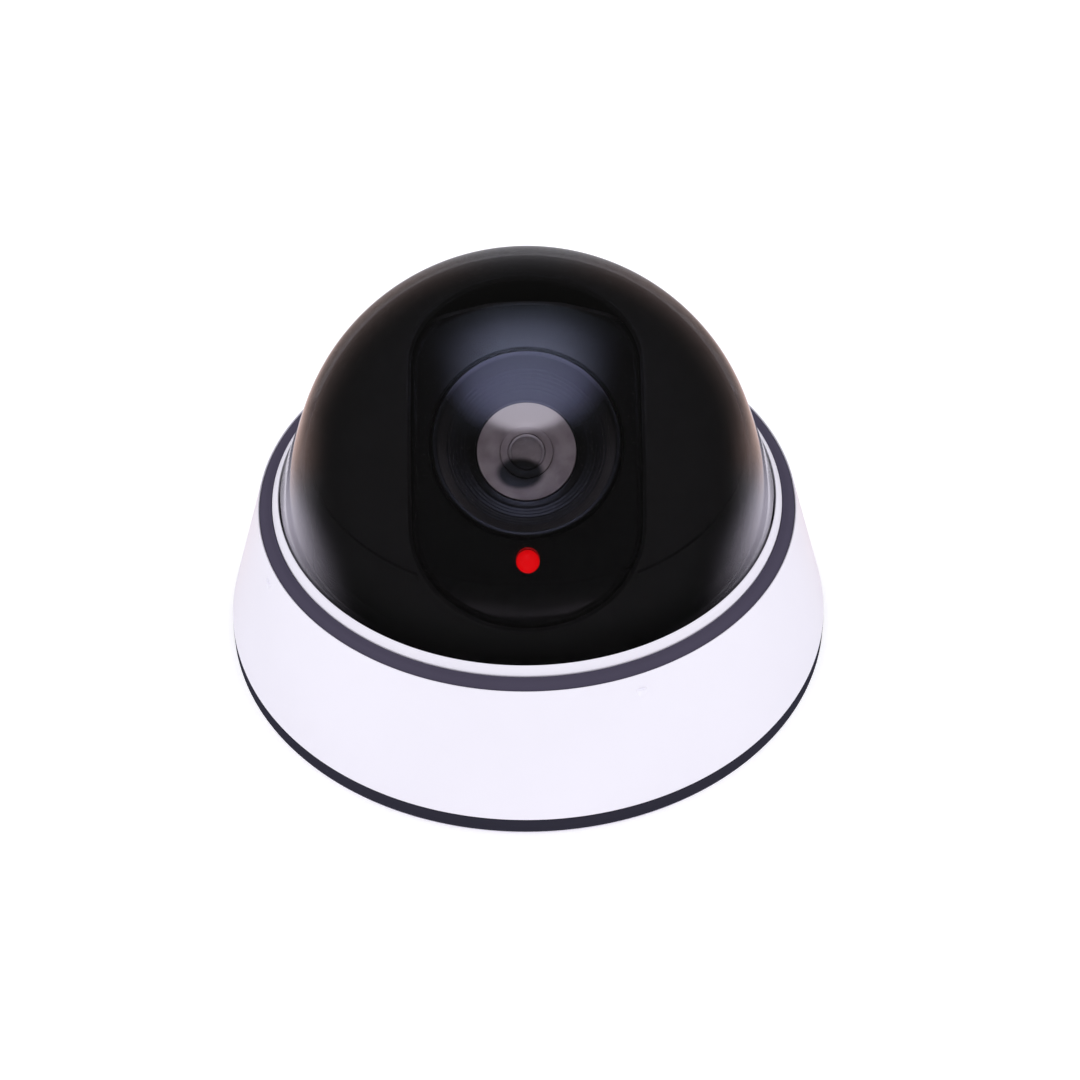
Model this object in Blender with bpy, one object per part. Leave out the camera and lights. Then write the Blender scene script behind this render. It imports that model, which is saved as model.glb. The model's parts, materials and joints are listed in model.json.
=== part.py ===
"""Dome security camera: a white flared housing, a smoked dome and a pan, tilt and roll camera module.

Run it with: blender --background --python part.py
Metres, +Z up, -Y to the front. The origin is the centre of the face that rests on the ceiling or table.
"""

import math

import bmesh
import bpy
from mathutils import Matrix, Vector

MM = 0.001
GAP = 0.3 * MM  # between two pieces that touch
RUN = 0.5 * MM  # between two pieces that move past each other

# Overall sizes
FOOT_RADIUS = 60.0 * MM
HOUSING_TOP = 34.7 * MM  # height of the lip round the dome
DOME_RADIUS = 45.45 * MM

# Base plate
PLATE_FLANGE = 0.8 * MM
PLATE_THICKNESS = 2.8 * MM
PLATE_INSET = 0.6 * MM  # the plate's rim inside the housing's foot
MOUNT_HOLE_RADIUS = 2.3 * MM
MOUNT_CIRCLE = 46.0 * MM
INLET_CIRCLE = 45.5 * MM
INLET_RADIUS = 6.5 * MM
CABLE_RADIUS = 3.2 * MM
FINGER_WIDTH = 8.0 * MM
FINGER_THICKNESS = 1.2 * MM
FINGER_HEIGHT = 8.0 * MM

# Housing and its two trims
HOUSING_WALL = 2.0 * MM
LOWER_TRIM_HEIGHT = 3.0 * MM
LOWER_TRIM_THICKNESS = 1.5 * MM
FOOT_WALL = 1.6 * MM
LIP_WIDTH = 1.55 * MM
LIP_DROP = 1.85 * MM
UPPER_TRIM_WIDTH = 2.35 * MM
UPPER_TRIM_DROP = 1.25 * MM
UPPER_TRIM_DEPTH = 1.1 * MM
LIP_DEPTH = 5.9 * MM  # from the lip's top to the seat of the dome's flange

# Smoked dome
DOME_WALL = 1.8 * MM
DOME_RISE = 0.7 * MM  # the dome's centre above the lip
SKIRT_ANGLE = math.radians(18)
DOME_FLANGE = 2.2 * MM
DOME_FLANGE_THICKNESS = 1.5 * MM
GASKET_THICKNESS = 0.4 * MM
RETAINER_DEPTH = 8.0 * MM
RETAINER_THICKNESS = 1.5 * MM

# Pan bearing and turntable
BEARING_RADIUS = 28.0 * MM
BEARING_WALL = 4.0 * MM
BEARING_HEIGHT = 6.2 * MM
BEARING_LIP = 1.0 * MM
BEARING_LIP_HEIGHT = 2.8 * MM
TURNTABLE_THICKNESS = 2.0 * MM
WIRE_HOLE_RADIUS = 5.0 * MM
STOP_CIRCLE = 35.7 * MM

# Liner
LINER_WALL = 1.2 * MM
LINER_CLEARANCE = 0.65 * MM
SLOT_HALF_WIDTH = 21.4 * MM
SLOT_LOW, SLOT_HIGH = math.radians(2.3), math.radians(105)
SLOT_END = 18.0 * MM  # length of each rounded end
LINER_BOSS_RADIUS = 2.4 * MM
LINER_BOSS_HEIGHT = 4.5 * MM

# Eyeball
EYEBALL_WALL = 1.5 * MM
EYEBALL_OVERLAP = 2.6 * MM  # how far the eyeball passes under the slot's sides
EYEBALL_LOW = math.radians(-18)  # lower edge of the front shell, about the tilt axis
EYEBALL_MARGIN = math.radians(6.35)  # from the hood's collar to the shell's upper edge
PIVOT_DISC_CLEARANCE = 1.5 * MM  # between the pivot discs and the yoke
PIVOT_RADIUS = 2.5 * MM
WASHER_THICKNESS = 1.5 * MM
ARM_THICKNESS = 3.0 * MM
ARM_HALF_WIDTH = 7.0 * MM
YOKE_THICKNESS = 2.0 * MM
BACK_WALL = 1.4 * MM
BACK_BOSS_RADIUS = 2.2 * MM
BACK_BOSS_X = 12.0 * MM

# Camera module, along the optical axis
LENS_ELEVATION = math.radians(52.5)
HOOD_SHARE = 0.374  # the hood's radius over the dome's
HOOD_RIM = 0.8 * MM
HOOD_DEPTH = 7.4 * MM
HOOD_FLOOR = 2.3 * MM
TAIL_RADIUS = 11.5 * MM
BEZEL_RADIUS = 9.1 * MM
BEZEL_THICKNESS = 0.9 * MM
BEZEL_DISH = 1.2 * MM
BARREL_RADIUS = 6.0 * MM
NOSE_RADIUS = 4.7 * MM
LENS_RADIUS = 3.3 * MM
BOARD_THICKNESS = 1.2 * MM
LED_RADIUS = 2.1 * MM
COLLAR_WALL = 1.0 * MM  # of the tube that the hood turns in
COLLAR_LEDGE = 1.2 * MM

# Circuit boards on the base
MAIN_BOARD_RADIUS = 20.0 * MM
POST_HEIGHT = 1.0 * MM
SERVICE_BOARD_SIZE = (15.0 * MM, 26.0 * MM)
BUTTON_RADIUS = 1.6 * MM
BUTTON_TRAVEL = 0.4 * MM

# Screws: head radius, head height and shank radius
SMALL_SCREW = (1.7 * MM, 1.0 * MM, 0.8 * MM)
PILOT_RADIUS = 1.1 * MM
HEAD_CLEARANCE = 2.0 * MM  # radius of the room for a small screw's head
PIVOT_SCREW = (4.0 * MM, 1.8 * MM, PIVOT_RADIUS)
SMALL_SHANK = 4.0 * MM

# Sizes and places that follow from the ones above
FOOT_Z = PLATE_FLANGE + GAP
DOME_CENTRE_Z = HOUSING_TOP + DOME_RISE
DOME_BASE_RADIUS = DOME_RADIUS / math.cos(SKIRT_ANGLE) + math.tan(SKIRT_ANGLE) * DOME_RISE
OPENING_RADIUS = DOME_BASE_RADIUS + GAP
LIP_RADIUS = OPENING_RADIUS + LIP_WIDTH
SHOULDER_RADIUS = LIP_RADIUS + UPPER_TRIM_WIDTH
LIP_Z = HOUSING_TOP - LIP_DROP
SHOULDER_Z = LIP_Z - UPPER_TRIM_DROP
GROOVE_Z = FOOT_Z + LOWER_TRIM_HEIGHT + GAP
SEAT_Z = HOUSING_TOP - LIP_DEPTH
FLANGE_TOP_Z = SEAT_Z - 2 * GAP - GASKET_THICKNESS
FLANGE_Z = FLANGE_TOP_Z - DOME_FLANGE_THICKNESS
RETAINER_TOP_Z = FLANGE_Z - GAP
RETAINER_Z = RETAINER_TOP_Z - RETAINER_DEPTH
LINER_RADIUS = DOME_RADIUS - DOME_WALL - LINER_CLEARANCE
LINER_INNER_RADIUS = LINER_RADIUS - LINER_WALL
EYEBALL_RADIUS = LINER_INNER_RADIUS - RUN
EYEBALL_HALF_WIDTH = SLOT_HALF_WIDTH + EYEBALL_OVERLAP
BEARING_Z = PLATE_THICKNESS + GAP
BEARING_TOP_Z = BEARING_Z + BEARING_HEIGHT
TURNTABLE_Z = BEARING_TOP_Z + GAP
TURNTABLE_TOP_Z = TURNTABLE_Z + TURNTABLE_THICKNESS
YOKE_Z = TURNTABLE_TOP_Z + GAP
YOKE_TOP_Z = YOKE_Z + YOKE_THICKNESS
PIVOT_FACE_X = EYEBALL_HALF_WIDTH + GAP
ARM_X = PIVOT_FACE_X + WASHER_THICKNESS + 2 * GAP
PIVOT_DISC_RADIUS = DOME_CENTRE_Z - YOKE_TOP_Z - PIVOT_DISC_CLEARANCE
YOKE_CLEARANCE = 1.0 * MM
BACK_RADIUS = DOME_CENTRE_Z - YOKE_TOP_Z - SMALL_SCREW[1] - GAP - YOKE_CLEARANCE
LINER_BOSS_CIRCLE = LINER_INNER_RADIUS - 2.0 * MM
HOOD_RADIUS = HOOD_SHARE * DOME_RADIUS
HOOD_MOUTH = math.sqrt(EYEBALL_RADIUS**2 - HOOD_RADIUS**2)
HOOD_FLOOR_S = HOOD_MOUTH - HOOD_DEPTH
HOOD_BACK_S = HOOD_FLOOR_S - HOOD_FLOOR
COLLAR_RADIUS = HOOD_RADIUS + RUN + COLLAR_WALL
LEDGE_S = HOOD_BACK_S - RUN
EYEBALL_HIGH = LENS_ELEVATION + math.atan2(COLLAR_RADIUS, LEDGE_S - COLLAR_LEDGE) + EYEBALL_MARGIN
LED_OFFSET = COLLAR_RADIUS + 0.4 * MM + LED_RADIUS
LED_TIP_S = math.sqrt(EYEBALL_RADIUS**2 - LED_OFFSET**2) + 0.7 * MM
LED_BOARD_S = HOOD_BACK_S - 1.0 * MM
LED_POST_X = 4.0 * MM
LED_POST_T = -LED_OFFSET - 2.8 * MM
BOARD_Z = PLATE_THICKNESS + POST_HEIGHT + GAP
BOARD_TOP_Z = BOARD_Z + BOARD_THICKNESS

ROUND = 36  # sides of the large round pieces
MEDIUM = 24
SMALL = 16
TINY = 8


def housing_radius(z):
    """Outer radius of the flared housing at a height."""
    share = (z - GROOVE_Z) / (SHOULDER_Z - GROOVE_Z)
    return FOOT_RADIUS + share * (SHOULDER_RADIUS + GAP - FOOT_RADIUS)


def housing_inner_radius(z):
    return housing_radius(z) - HOUSING_WALL


def arc(radius, start, end, steps, centre=(0.0, 0.0)):
    """Points from one angle to another, in degrees, both ends included."""
    points = []
    for step in range(steps + 1):
        angle = math.radians(start + (end - start) * step / steps)
        points.append((centre[0] + radius * math.cos(angle), centre[1] + radius * math.sin(angle)))
    return points


def on_circle(radius, degrees, z=0.0):
    angle = math.radians(degrees)
    return Vector((radius * math.cos(angle), radius * math.sin(angle), z))


# Materials


def material(name, colour, roughness, metallic=0.0, alpha=1.0):
    made = bpy.data.materials.new(name)
    made.use_nodes = True
    shader = made.node_tree.nodes["Principled BSDF"]
    shader.inputs["Base Color"].default_value = (*colour, 1.0)
    shader.inputs["Roughness"].default_value = roughness
    shader.inputs["Metallic"].default_value = metallic
    shader.inputs["Alpha"].default_value = alpha
    made.diffuse_color = (*colour, alpha)
    return made


def make_materials():
    return {
        "white": material("white_plastic", (0.86, 0.84, 0.88), 0.32),
        "trim": material("trim_plastic", (0.085, 0.078, 0.11), 0.35),
        "smoke": material("smoked_acrylic", (0.012, 0.013, 0.017), 0.05, alpha=0.35),
        "black": material("black_plastic", (0.018, 0.019, 0.023), 0.4),
        "silver": material("silvered_metal", (0.72, 0.70, 0.70), 0.28, metallic=1.0),
        "glass": material("lens_glass", (0.62, 0.60, 0.62), 0.04, alpha=0.35),
        "led": material("red_lens", (0.78, 0.004, 0.006), 0.2),
        "board": material("circuit_board", (0.01, 0.09, 0.035), 0.5),
        "chip": material("chip_plastic", (0.02, 0.02, 0.022), 0.55),
        "steel": material("screw_steel", (0.55, 0.55, 0.56), 0.3, metallic=1.0),
        "rubber": material("rubber", (0.03, 0.03, 0.032), 0.75),
        "socket": material("socket_plastic", (0.75, 0.72, 0.62), 0.5),
    }


# Building blocks


def place(obj, frame, location=(0, 0, 0), along=None):
    """Parents an object to a frame and points its own +Z along a direction."""
    obj.parent = frame
    obj.location = location
    if along is not None:
        obj.rotation_mode = "QUATERNION"
        obj.rotation_quaternion = Vector(along).to_track_quat("Z", "Y")
    return obj


def object_of(bm, name, surface=None):
    bmesh.ops.remove_doubles(bm, verts=bm.verts, dist=1e-7)
    bmesh.ops.recalc_face_normals(bm, faces=bm.faces)
    mesh = bpy.data.meshes.new(name)
    bm.to_mesh(mesh)
    bm.free()
    mesh.shade_smooth()
    mesh.set_sharp_from_angle(angle=math.radians(30))
    obj = bpy.data.objects.new(name, mesh)
    bpy.context.scene.collection.objects.link(obj)
    if surface:
        mesh.materials.append(surface)
    return obj


def turned(name, profile, sides, surface=None, closed=True, axis=(0, 0, 1), sweep=None):
    """Spins a (radius, height) profile about an axis. A profile that isn't closed starts and ends on it.

    A sweep of two angles makes part of a turn about X, with capped ends, from a (height, radius) profile.
    """
    bm = bmesh.new()
    if sweep is None:
        verts = [bm.verts.new((radius, 0, z)) for radius, z in profile]
        turn, steps = math.tau, sides
    else:
        low, high = sweep
        start = Matrix.Rotation(-low, 3, "X")
        verts = [bm.verts.new(start @ Vector((x, -radius, 0))) for x, radius in profile]
        turn, steps = high - low, sides
        axis = (-1, 0, 0)
    edges = [bm.edges.new(pair) for pair in zip(verts, verts[1:])]
    if closed:
        edges.append(bm.edges.new((verts[-1], verts[0])))
    if sweep is not None:
        first = bm.faces.new(verts)
        made = bmesh.ops.extrude_face_region(bm, geom=[first])
        bmesh.ops.delete(bm, geom=made["geom"], context="VERTS")
    made = bmesh.ops.spin(
        bm,
        geom=verts + edges,
        cent=(0, 0, 0),
        axis=axis,
        angle=turn,
        steps=steps,
        use_merge=sweep is None,
    )
    if sweep is not None:
        last = [item for item in made["geom_last"] if isinstance(item, bmesh.types.BMEdge)]
        bmesh.ops.contextual_create(bm, geom=last)
    return object_of(bm, name, surface)


def disc(name, radius, low, high, sides, surface=None):
    return turned(name, [(0, low), (radius, low), (radius, high), (0, high)], sides, surface, closed=False)


def ring(name, inner, outer, low, high, sides, surface=None):
    return turned(name, [(inner, low), (outer, low), (outer, high), (inner, high)], sides, surface)


def extruded(name, outline, low, high, surface=None, across="Z"):
    """Extrudes an outline along Z, or along X for an outline given as (y, z)."""
    bm = bmesh.new()
    if across == "Z":
        verts = [bm.verts.new((a, b, low)) for a, b in outline]
        push = (0, 0, high - low)
    else:
        verts = [bm.verts.new((low, a, b)) for a, b in outline]
        push = (high - low, 0, 0)
    face = bm.faces.new(verts)
    made = bmesh.ops.extrude_face_region(bm, geom=[face])
    moved = [item for item in made["geom"] if isinstance(item, bmesh.types.BMVert)]
    bmesh.ops.translate(bm, verts=moved, vec=push)
    return object_of(bm, name, surface)


def block(name, size, centre, surface=None):
    bm = bmesh.new()
    shape = Matrix.Translation(centre) @ Matrix.Diagonal((*size, 1.0))
    bmesh.ops.create_cube(bm, size=1.0, matrix=shape)
    return object_of(bm, name, surface)


def combine(obj, tool, operation):
    """Adds, cuts or intersects with a helper, which isn't a piece of its own."""
    tool.hide_render = True
    tool.display_type = "WIRE"
    modifier = obj.modifiers.new(tool.name, "BOOLEAN")
    modifier.operation = operation
    modifier.object = tool
    modifier.solver = "EXACT"


def cut(obj, tool):
    combine(obj, tool, "DIFFERENCE")


def add(obj, tool):
    combine(obj, tool, "UNION")


def screws(name, frame, places, along, surface, size=SMALL_SCREW, length=SMALL_SHANK, sides=TINY):
    """Identical screws, one object each. A place is the underside of a head."""
    head, height, shank = size
    profile = [(0, -length), (shank, -length), (shank, 0), (head, 0), (head, height), (0, height)]
    first = turned(f"{name}_1", profile, sides, surface, closed=False)
    place(first, frame, places[0], along)
    for number, spot in enumerate(places[1:], 2):
        copy = bpy.data.objects.new(f"{name}_{number}", first.data)
        bpy.context.scene.collection.objects.link(copy)
        place(copy, frame, spot, along)


def pegs(name, radius, spots, low, high, along=(0, 0, 1), sides=TINY):
    """Equal round pegs in one helper, each from low to high along a direction through its spot."""
    bm = bmesh.new()
    turn = Vector(along).to_track_quat("Z", "Y").to_matrix().to_4x4()
    rise = Matrix.Translation((0, 0, (low + high) / 2))
    for spot in spots:
        bmesh.ops.create_cone(
            bm,
            cap_ends=True,
            segments=sides,
            radius1=radius,
            radius2=radius,
            depth=high - low,
            matrix=Matrix.Translation(spot) @ turn @ rise,
        )
    return object_of(bm, name)


def drill(obj, frame, name, radius, spots, low, high, along=(0, 0, 1), sides=TINY):
    """Cuts a round hole at each spot, from low to high along a direction."""
    cut(obj, place(pegs(f"{name}_holes", radius, spots, low, high, along, sides), frame))


def frame_at(name, parent, location, tilt=0.0):
    empty = bpy.data.objects.new(name, None)
    bpy.context.scene.collection.objects.link(empty)
    empty.parent = parent
    empty.location = location
    empty.rotation_euler = (tilt, 0, 0)
    return empty


# Base: plate, bearing ring, boards and cable grommet

BOARD_POSTS = [on_circle(MAIN_BOARD_RADIUS - 3.2 * MM, angle) for angle in (90, 210, 330)]
BEARING_EARS = [on_circle(BEARING_RADIUS + 1.8 * MM, angle) for angle in (60, 180, 300)]
MOUNT_HOLES = [on_circle(MOUNT_CIRCLE, angle) for angle in (30, 150, 270)]
SERVICE_X = LINER_RADIUS + 0.5 * MM  # centre of the service board, half under the turntable's edge
SERVICE_POSTS = [Vector((SERVICE_X + 5.0 * MM, side * 10.4 * MM, 0)) for side in (-1, 1)]
INLET = on_circle(INLET_CIRCLE, 90)
EAR_RADIUS = 2.8 * MM
EAR_THICKNESS = 1.9 * MM


def make_base_plate(frame, surface):
    rim = FOOT_RADIUS - PLATE_INSET
    step = FOOT_RADIUS - LOWER_TRIM_THICKNESS - GAP - FOOT_WALL - GAP
    profile = [
        (0, 0), (rim, 0), (rim, PLATE_FLANGE), (step, PLATE_FLANGE), (step, PLATE_THICKNESS),
        (0, PLATE_THICKNESS),
    ]
    plate = place(turned("base_plate", profile, ROUND, surface, closed=False), frame)
    root = PLATE_THICKNESS - 0.5 * MM
    posts = pegs("board_posts", 1.9 * MM, BOARD_POSTS + SERVICE_POSTS, root, PLATE_THICKNESS + POST_HEIGHT)
    add(plate, place(posts, frame))
    stop = disc("pan_stop_post", 1.4 * MM, root, TURNTABLE_Z - 2 * GAP, TINY)
    add(plate, place(stop, frame, on_circle(STOP_CIRCLE, 90)))
    top = PLATE_THICKNESS + FINGER_HEIGHT
    outer = min(housing_inner_radius(top), step) - 2 * GAP
    back = outer - FINGER_THICKNESS
    barb = [
        (back, root), (outer - GAP, root), (outer - GAP, top - 2 * MM), (outer, top - 1.4 * MM),
        (outer - GAP, top), (back, top),
    ]
    for number, angle in enumerate((45, 135, 225, 315), 1):
        finger = extruded(f"snap_finger_{number}", barb, -FINGER_WIDTH / 2, FINGER_WIDTH / 2, across="X")
        finger.rotation_euler = (0, 0, math.radians(angle - 90))
        finger.parent = frame
        add(plate, finger)
    drill(plate, frame, "mount", MOUNT_HOLE_RADIUS, MOUNT_HOLES, -MM, PLATE_THICKNESS + MM, sides=SMALL)
    drill(plate, frame, "inlet", INLET_RADIUS, [INLET], -MM, PLATE_THICKNESS + MM, sides=SMALL)
    high = PLATE_THICKNESS + POST_HEIGHT + MM
    spots = BOARD_POSTS + SERVICE_POSTS + BEARING_EARS
    drill(plate, frame, "plate_screw", PILOT_RADIUS, spots, PLATE_FLANGE, high)


def make_bearing(frame, materials):
    wall = BEARING_RADIUS - BEARING_WALL
    lip = BEARING_TOP_Z - BEARING_LIP_HEIGHT
    profile = [
        (wall, BEARING_Z), (BEARING_RADIUS, BEARING_Z), (BEARING_RADIUS, BEARING_TOP_Z),
        (wall - BEARING_LIP, BEARING_TOP_Z), (wall - BEARING_LIP, lip), (wall, lip),
    ]
    bearing = place(turned("pan_bearing_ring", profile, MEDIUM, materials["black"]), frame)
    ear_top = BEARING_Z + EAR_THICKNESS
    ears = pegs("bearing_ears", EAR_RADIUS, BEARING_EARS, BEARING_Z + 0.1 * MM, ear_top, sides=SMALL)
    add(bearing, place(ears, frame))
    # The bearing's wall stops short of each screw head.
    drill(bearing, frame, "ear_screw", PILOT_RADIUS, BEARING_EARS, 0, ear_top + MM)
    high = BEARING_TOP_Z + MM
    drill(bearing, frame, "ear_head", HEAD_CLEARANCE, BEARING_EARS, ear_top, high, sides=SMALL)
    heads = [spot + Vector((0, 0, ear_top + GAP)) for spot in BEARING_EARS]
    screws("bearing_screw", frame, heads, None, materials["steel"], length=SMALL_SHANK - 0.6 * MM)


def make_main_board(frame, materials):
    board = disc("main_board", MAIN_BOARD_RADIUS, BOARD_Z, BOARD_TOP_Z, MEDIUM, materials["board"])
    place(board, frame)
    drill(board, frame, "board_screw", PILOT_RADIUS, BOARD_POSTS, BOARD_Z - MM, BOARD_TOP_Z + MM)
    heads = [spot + Vector((0, 0, BOARD_TOP_Z + GAP)) for spot in BOARD_POSTS]
    screws("board_screw", frame, heads, None, materials["steel"], length=2.8 * MM)
    low = BOARD_TOP_Z + GAP
    place(block("processor", (9 * MM, 9 * MM, 1.1 * MM), (0, 0, low + 0.55 * MM), materials["chip"]), frame)
    can = disc("capacitor", 2.4 * MM, low, low + 2.4 * MM, SMALL, materials["silver"])
    place(can, frame, (-9.5 * MM, 6.5 * MM, 0))
    size, middle = (9 * MM, 3.6 * MM, 2.4 * MM), (0, -10.5 * MM, low + 1.2 * MM)
    place(block("harness_socket", size, middle, materials["socket"]), frame)


def make_service_board(frame, materials):
    width, length = SERVICE_BOARD_SIZE
    middle = (SERVICE_X, 0, BOARD_Z + BOARD_THICKNESS / 2)
    board = block("service_board", (width, length, BOARD_THICKNESS), middle, materials["board"])
    place(board, frame)
    drill(board, frame, "service_screw", PILOT_RADIUS, SERVICE_POSTS, BOARD_Z - MM, BOARD_TOP_Z + MM)
    heads = [spot + Vector((0, 0, BOARD_TOP_Z + GAP)) for spot in SERVICE_POSTS]
    screws("service_screw", frame, heads, None, materials["steel"], length=2.8 * MM)
    low = BOARD_TOP_Z + GAP
    size, middle = (12 * MM, 11 * MM, 1.5 * MM), (SERVICE_X - MM, -2.6 * MM, low + 0.75 * MM)
    place(block("card_socket", size, middle, materials["silver"]), frame)
    x, y = SERVICE_X + 4.2 * MM, 6.0 * MM
    height = 3.4 * MM
    switch = block("reset_switch", (5 * MM, 5 * MM, height), (x, y, low + height / 2), materials["chip"])
    place(switch, frame)
    floor = low + 1.4 * MM
    drill(switch, frame, "button", BUTTON_RADIUS + GAP, [(x, y, 0)], floor, low + height + MM, sides=SMALL)
    foot = floor + BUTTON_TRAVEL + GAP
    button = disc("reset_button", BUTTON_RADIUS, foot, low + height + 1.4 * MM, SMALL, materials["trim"])
    place(button, frame, (x, y, 0))


def make_grommet(frame, surface):
    neck = INLET_RADIUS - GAP
    foot = PLATE_THICKNESS + GAP
    profile = [
        (CABLE_RADIUS, GAP), (neck, GAP), (neck, foot), (neck + 1.6 * MM, foot),
        (neck + 1.6 * MM, foot + MM), (neck - 1.4 * MM, foot + 1.6 * MM),
        (CABLE_RADIUS + MM, foot + 3.2 * MM), (CABLE_RADIUS, foot + 3.2 * MM),
    ]
    place(turned("cable_grommet", profile, SMALL, surface), frame, INLET)


# Pan: turntable, yoke and liner

LINER_BOSSES = [on_circle(LINER_BOSS_CIRCLE, angle) for angle in (90, 210, 330)]
YOKE_SCREWS = [Vector((side * 17.0 * MM, 0, 0)) for side in (-1, 1)]


def make_turntable(frame, materials):
    wall = BEARING_RADIUS - BEARING_WALL
    skirt = wall - BEARING_LIP - GAP
    inner = skirt - 1.2 * MM
    barb_top = BEARING_TOP_Z - BEARING_LIP_HEIGHT - GAP
    barb_low = barb_top - 1.2 * MM
    profile = [
        (WIRE_HOLE_RADIUS, TURNTABLE_Z), (inner, TURNTABLE_Z), (inner, barb_low), (skirt, barb_low),
        (wall - GAP, barb_top - 0.4 * MM), (wall - GAP, barb_top), (skirt, barb_top), (skirt, TURNTABLE_Z),
        (LINER_RADIUS, TURNTABLE_Z), (LINER_RADIUS, TURNTABLE_TOP_Z), (WIRE_HOLE_RADIUS, TURNTABLE_TOP_Z),
    ]
    turntable = place(turned("turntable", profile, ROUND, materials["black"]), frame)
    low, high = TURNTABLE_Z - 1.3 * MM, TURNTABLE_Z + 0.5 * MM
    tab = block("pan_stop_tab", (2.6 * MM, 2.4 * MM, high - low), (0, -STOP_CIRCLE, (low + high) / 2))
    add(turntable, place(tab, frame))
    spots = LINER_BOSSES + YOKE_SCREWS
    drill(turntable, frame, "table_screw", PILOT_RADIUS, spots, TURNTABLE_Z - MM, TURNTABLE_TOP_Z + MM)


def make_yoke(frame, materials):
    outer = ARM_X + ARM_THICKNESS
    size = (2 * ARM_X + ARM_THICKNESS, 2 * ARM_HALF_WIDTH - MM, YOKE_THICKNESS)
    yoke = place(block("tilt_yoke", size, (0, 0, YOKE_Z + YOKE_THICKNESS / 2), materials["black"]), frame)
    round_top = arc(ARM_HALF_WIDTH, 0, 180, 12, (0, DOME_CENTRE_Z))
    outline = [(-ARM_HALF_WIDTH, YOKE_Z + 0.2 * MM), (ARM_HALF_WIDTH, YOKE_Z + 0.2 * MM), *round_top]
    for side, (low, high) in {"left": (-outer, -ARM_X), "right": (ARM_X, outer)}.items():
        add(yoke, place(extruded(f"arm_{side}", outline, low, high, across="X"), frame))
    bore = disc("arm_bore", PIVOT_RADIUS + GAP, -outer - MM, outer + MM, SMALL)
    cut(yoke, place(bore, frame, (0, 0, DOME_CENTRE_Z), (1, 0, 0)))
    low, high = YOKE_Z - MM, YOKE_TOP_Z + MM
    drill(yoke, frame, "yoke_wire", WIRE_HOLE_RADIUS, [(0, 0, 0)], low, high, sides=SMALL)
    drill(yoke, frame, "yoke_screw", PILOT_RADIUS, YOKE_SCREWS, low, high)
    heads = [spot + Vector((0, 0, YOKE_TOP_Z + GAP)) for spot in YOKE_SCREWS]
    screws("yoke_screw", frame, heads, None, materials["steel"], length=3.6 * MM)


def slot_outline():
    """Straight sides with a rounded end at each, seen along the middle of the slot."""
    half_length = LINER_RADIUS * math.sin((SLOT_HIGH - SLOT_LOW) / 2)
    straight = half_length - SLOT_END
    ends = arc(1, 0, 180, 16), arc(1, 180, 360, 16)
    upper = [(x * SLOT_HALF_WIDTH, straight + y * SLOT_END) for x, y in ends[0]]
    lower = [(x * SLOT_HALF_WIDTH, -straight + y * SLOT_END) for x, y in ends[1]]
    return upper + lower


def make_liner(frame, materials):
    centre = (0, DOME_CENTRE_Z)
    foot = TURNTABLE_TOP_Z + GAP
    outside = arc(LINER_RADIUS, 90, 0, 9, centre) + [(LINER_RADIUS, foot)]
    inside = [(LINER_INNER_RADIUS, foot)] + arc(LINER_INNER_RADIUS, 0, 90, 9, centre)
    liner = turned("dome_liner", outside + inside, ROUND, materials["black"], closed=False)
    place(liner, frame)
    top = foot + LINER_BOSS_HEIGHT
    bosses = pegs("liner_bosses", LINER_BOSS_RADIUS, LINER_BOSSES, foot + 0.1 * MM, top, sides=SMALL)
    add(liner, place(bosses, frame))
    drill(liner, frame, "liner_screw", PILOT_RADIUS, LINER_BOSSES, foot - MM, top - 0.6 * MM)
    middle = (SLOT_LOW + SLOT_HIGH) / 2
    aim = frame_at("slot_axis", frame, (0, 0, DOME_CENTRE_Z), math.pi / 2 - middle)
    slot = extruded("liner_slot", slot_outline(), 0.2 * LINER_RADIUS, 2 * LINER_RADIUS)
    cut(liner, place(slot, aim))
    heads = [spot + Vector((0, 0, TURNTABLE_Z - GAP)) for spot in LINER_BOSSES]
    screws("liner_screw", frame, heads, (0, 0, -1), materials["steel"], length=SMALL_SHANK)


# Tilt: the eyeball and what it carries, in a frame centred on the tilt axis


def edge_direction(angle):
    return Vector((0, -math.cos(angle), math.sin(angle)))


def edge_normal(angle, side):
    """Points out of the front shell, at its upper edge (side 1) or its lower one (side -1)."""
    return side * Vector((0, math.sin(angle), math.cos(angle)))


def back_boss(side, lift):
    inner = EYEBALL_RADIUS - EYEBALL_WALL
    reach = math.sqrt(inner**2 - BACK_BOSS_X**2) - BACK_BOSS_RADIUS + 0.5 * MM
    spot = reach * edge_direction(EYEBALL_HIGH) + lift * edge_normal(EYEBALL_HIGH, 1)
    return spot + Vector((side * BACK_BOSS_X, 0, 0))


def led_post_top():
    inner = EYEBALL_RADIUS - EYEBALL_WALL
    return math.sqrt(inner**2 - LED_POST_X**2 - LED_POST_T**2) + 0.5 * MM


def eyeball_profile():
    """(x, radius) of the front shell: a stretch of the ball with a side plate at each end."""
    x, inner_x = EYEBALL_HALF_WIDTH, EYEBALL_HALF_WIDTH - EYEBALL_WALL
    inner = EYEBALL_RADIUS - EYEBALL_WALL
    lean = math.degrees(math.asin(x / EYEBALL_RADIUS))
    inner_lean = math.degrees(math.asin(inner_x / inner))
    foot = PIVOT_DISC_RADIUS - 6.0 * MM
    outside = arc(EYEBALL_RADIUS, 90 + lean, 90 - lean, 10)
    inside = arc(inner, 90 - inner_lean, 90 + inner_lean, 8)
    return [*outside, (x, foot), (inner_x, foot), *inside, (-inner_x, foot), (-x, foot)]


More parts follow.
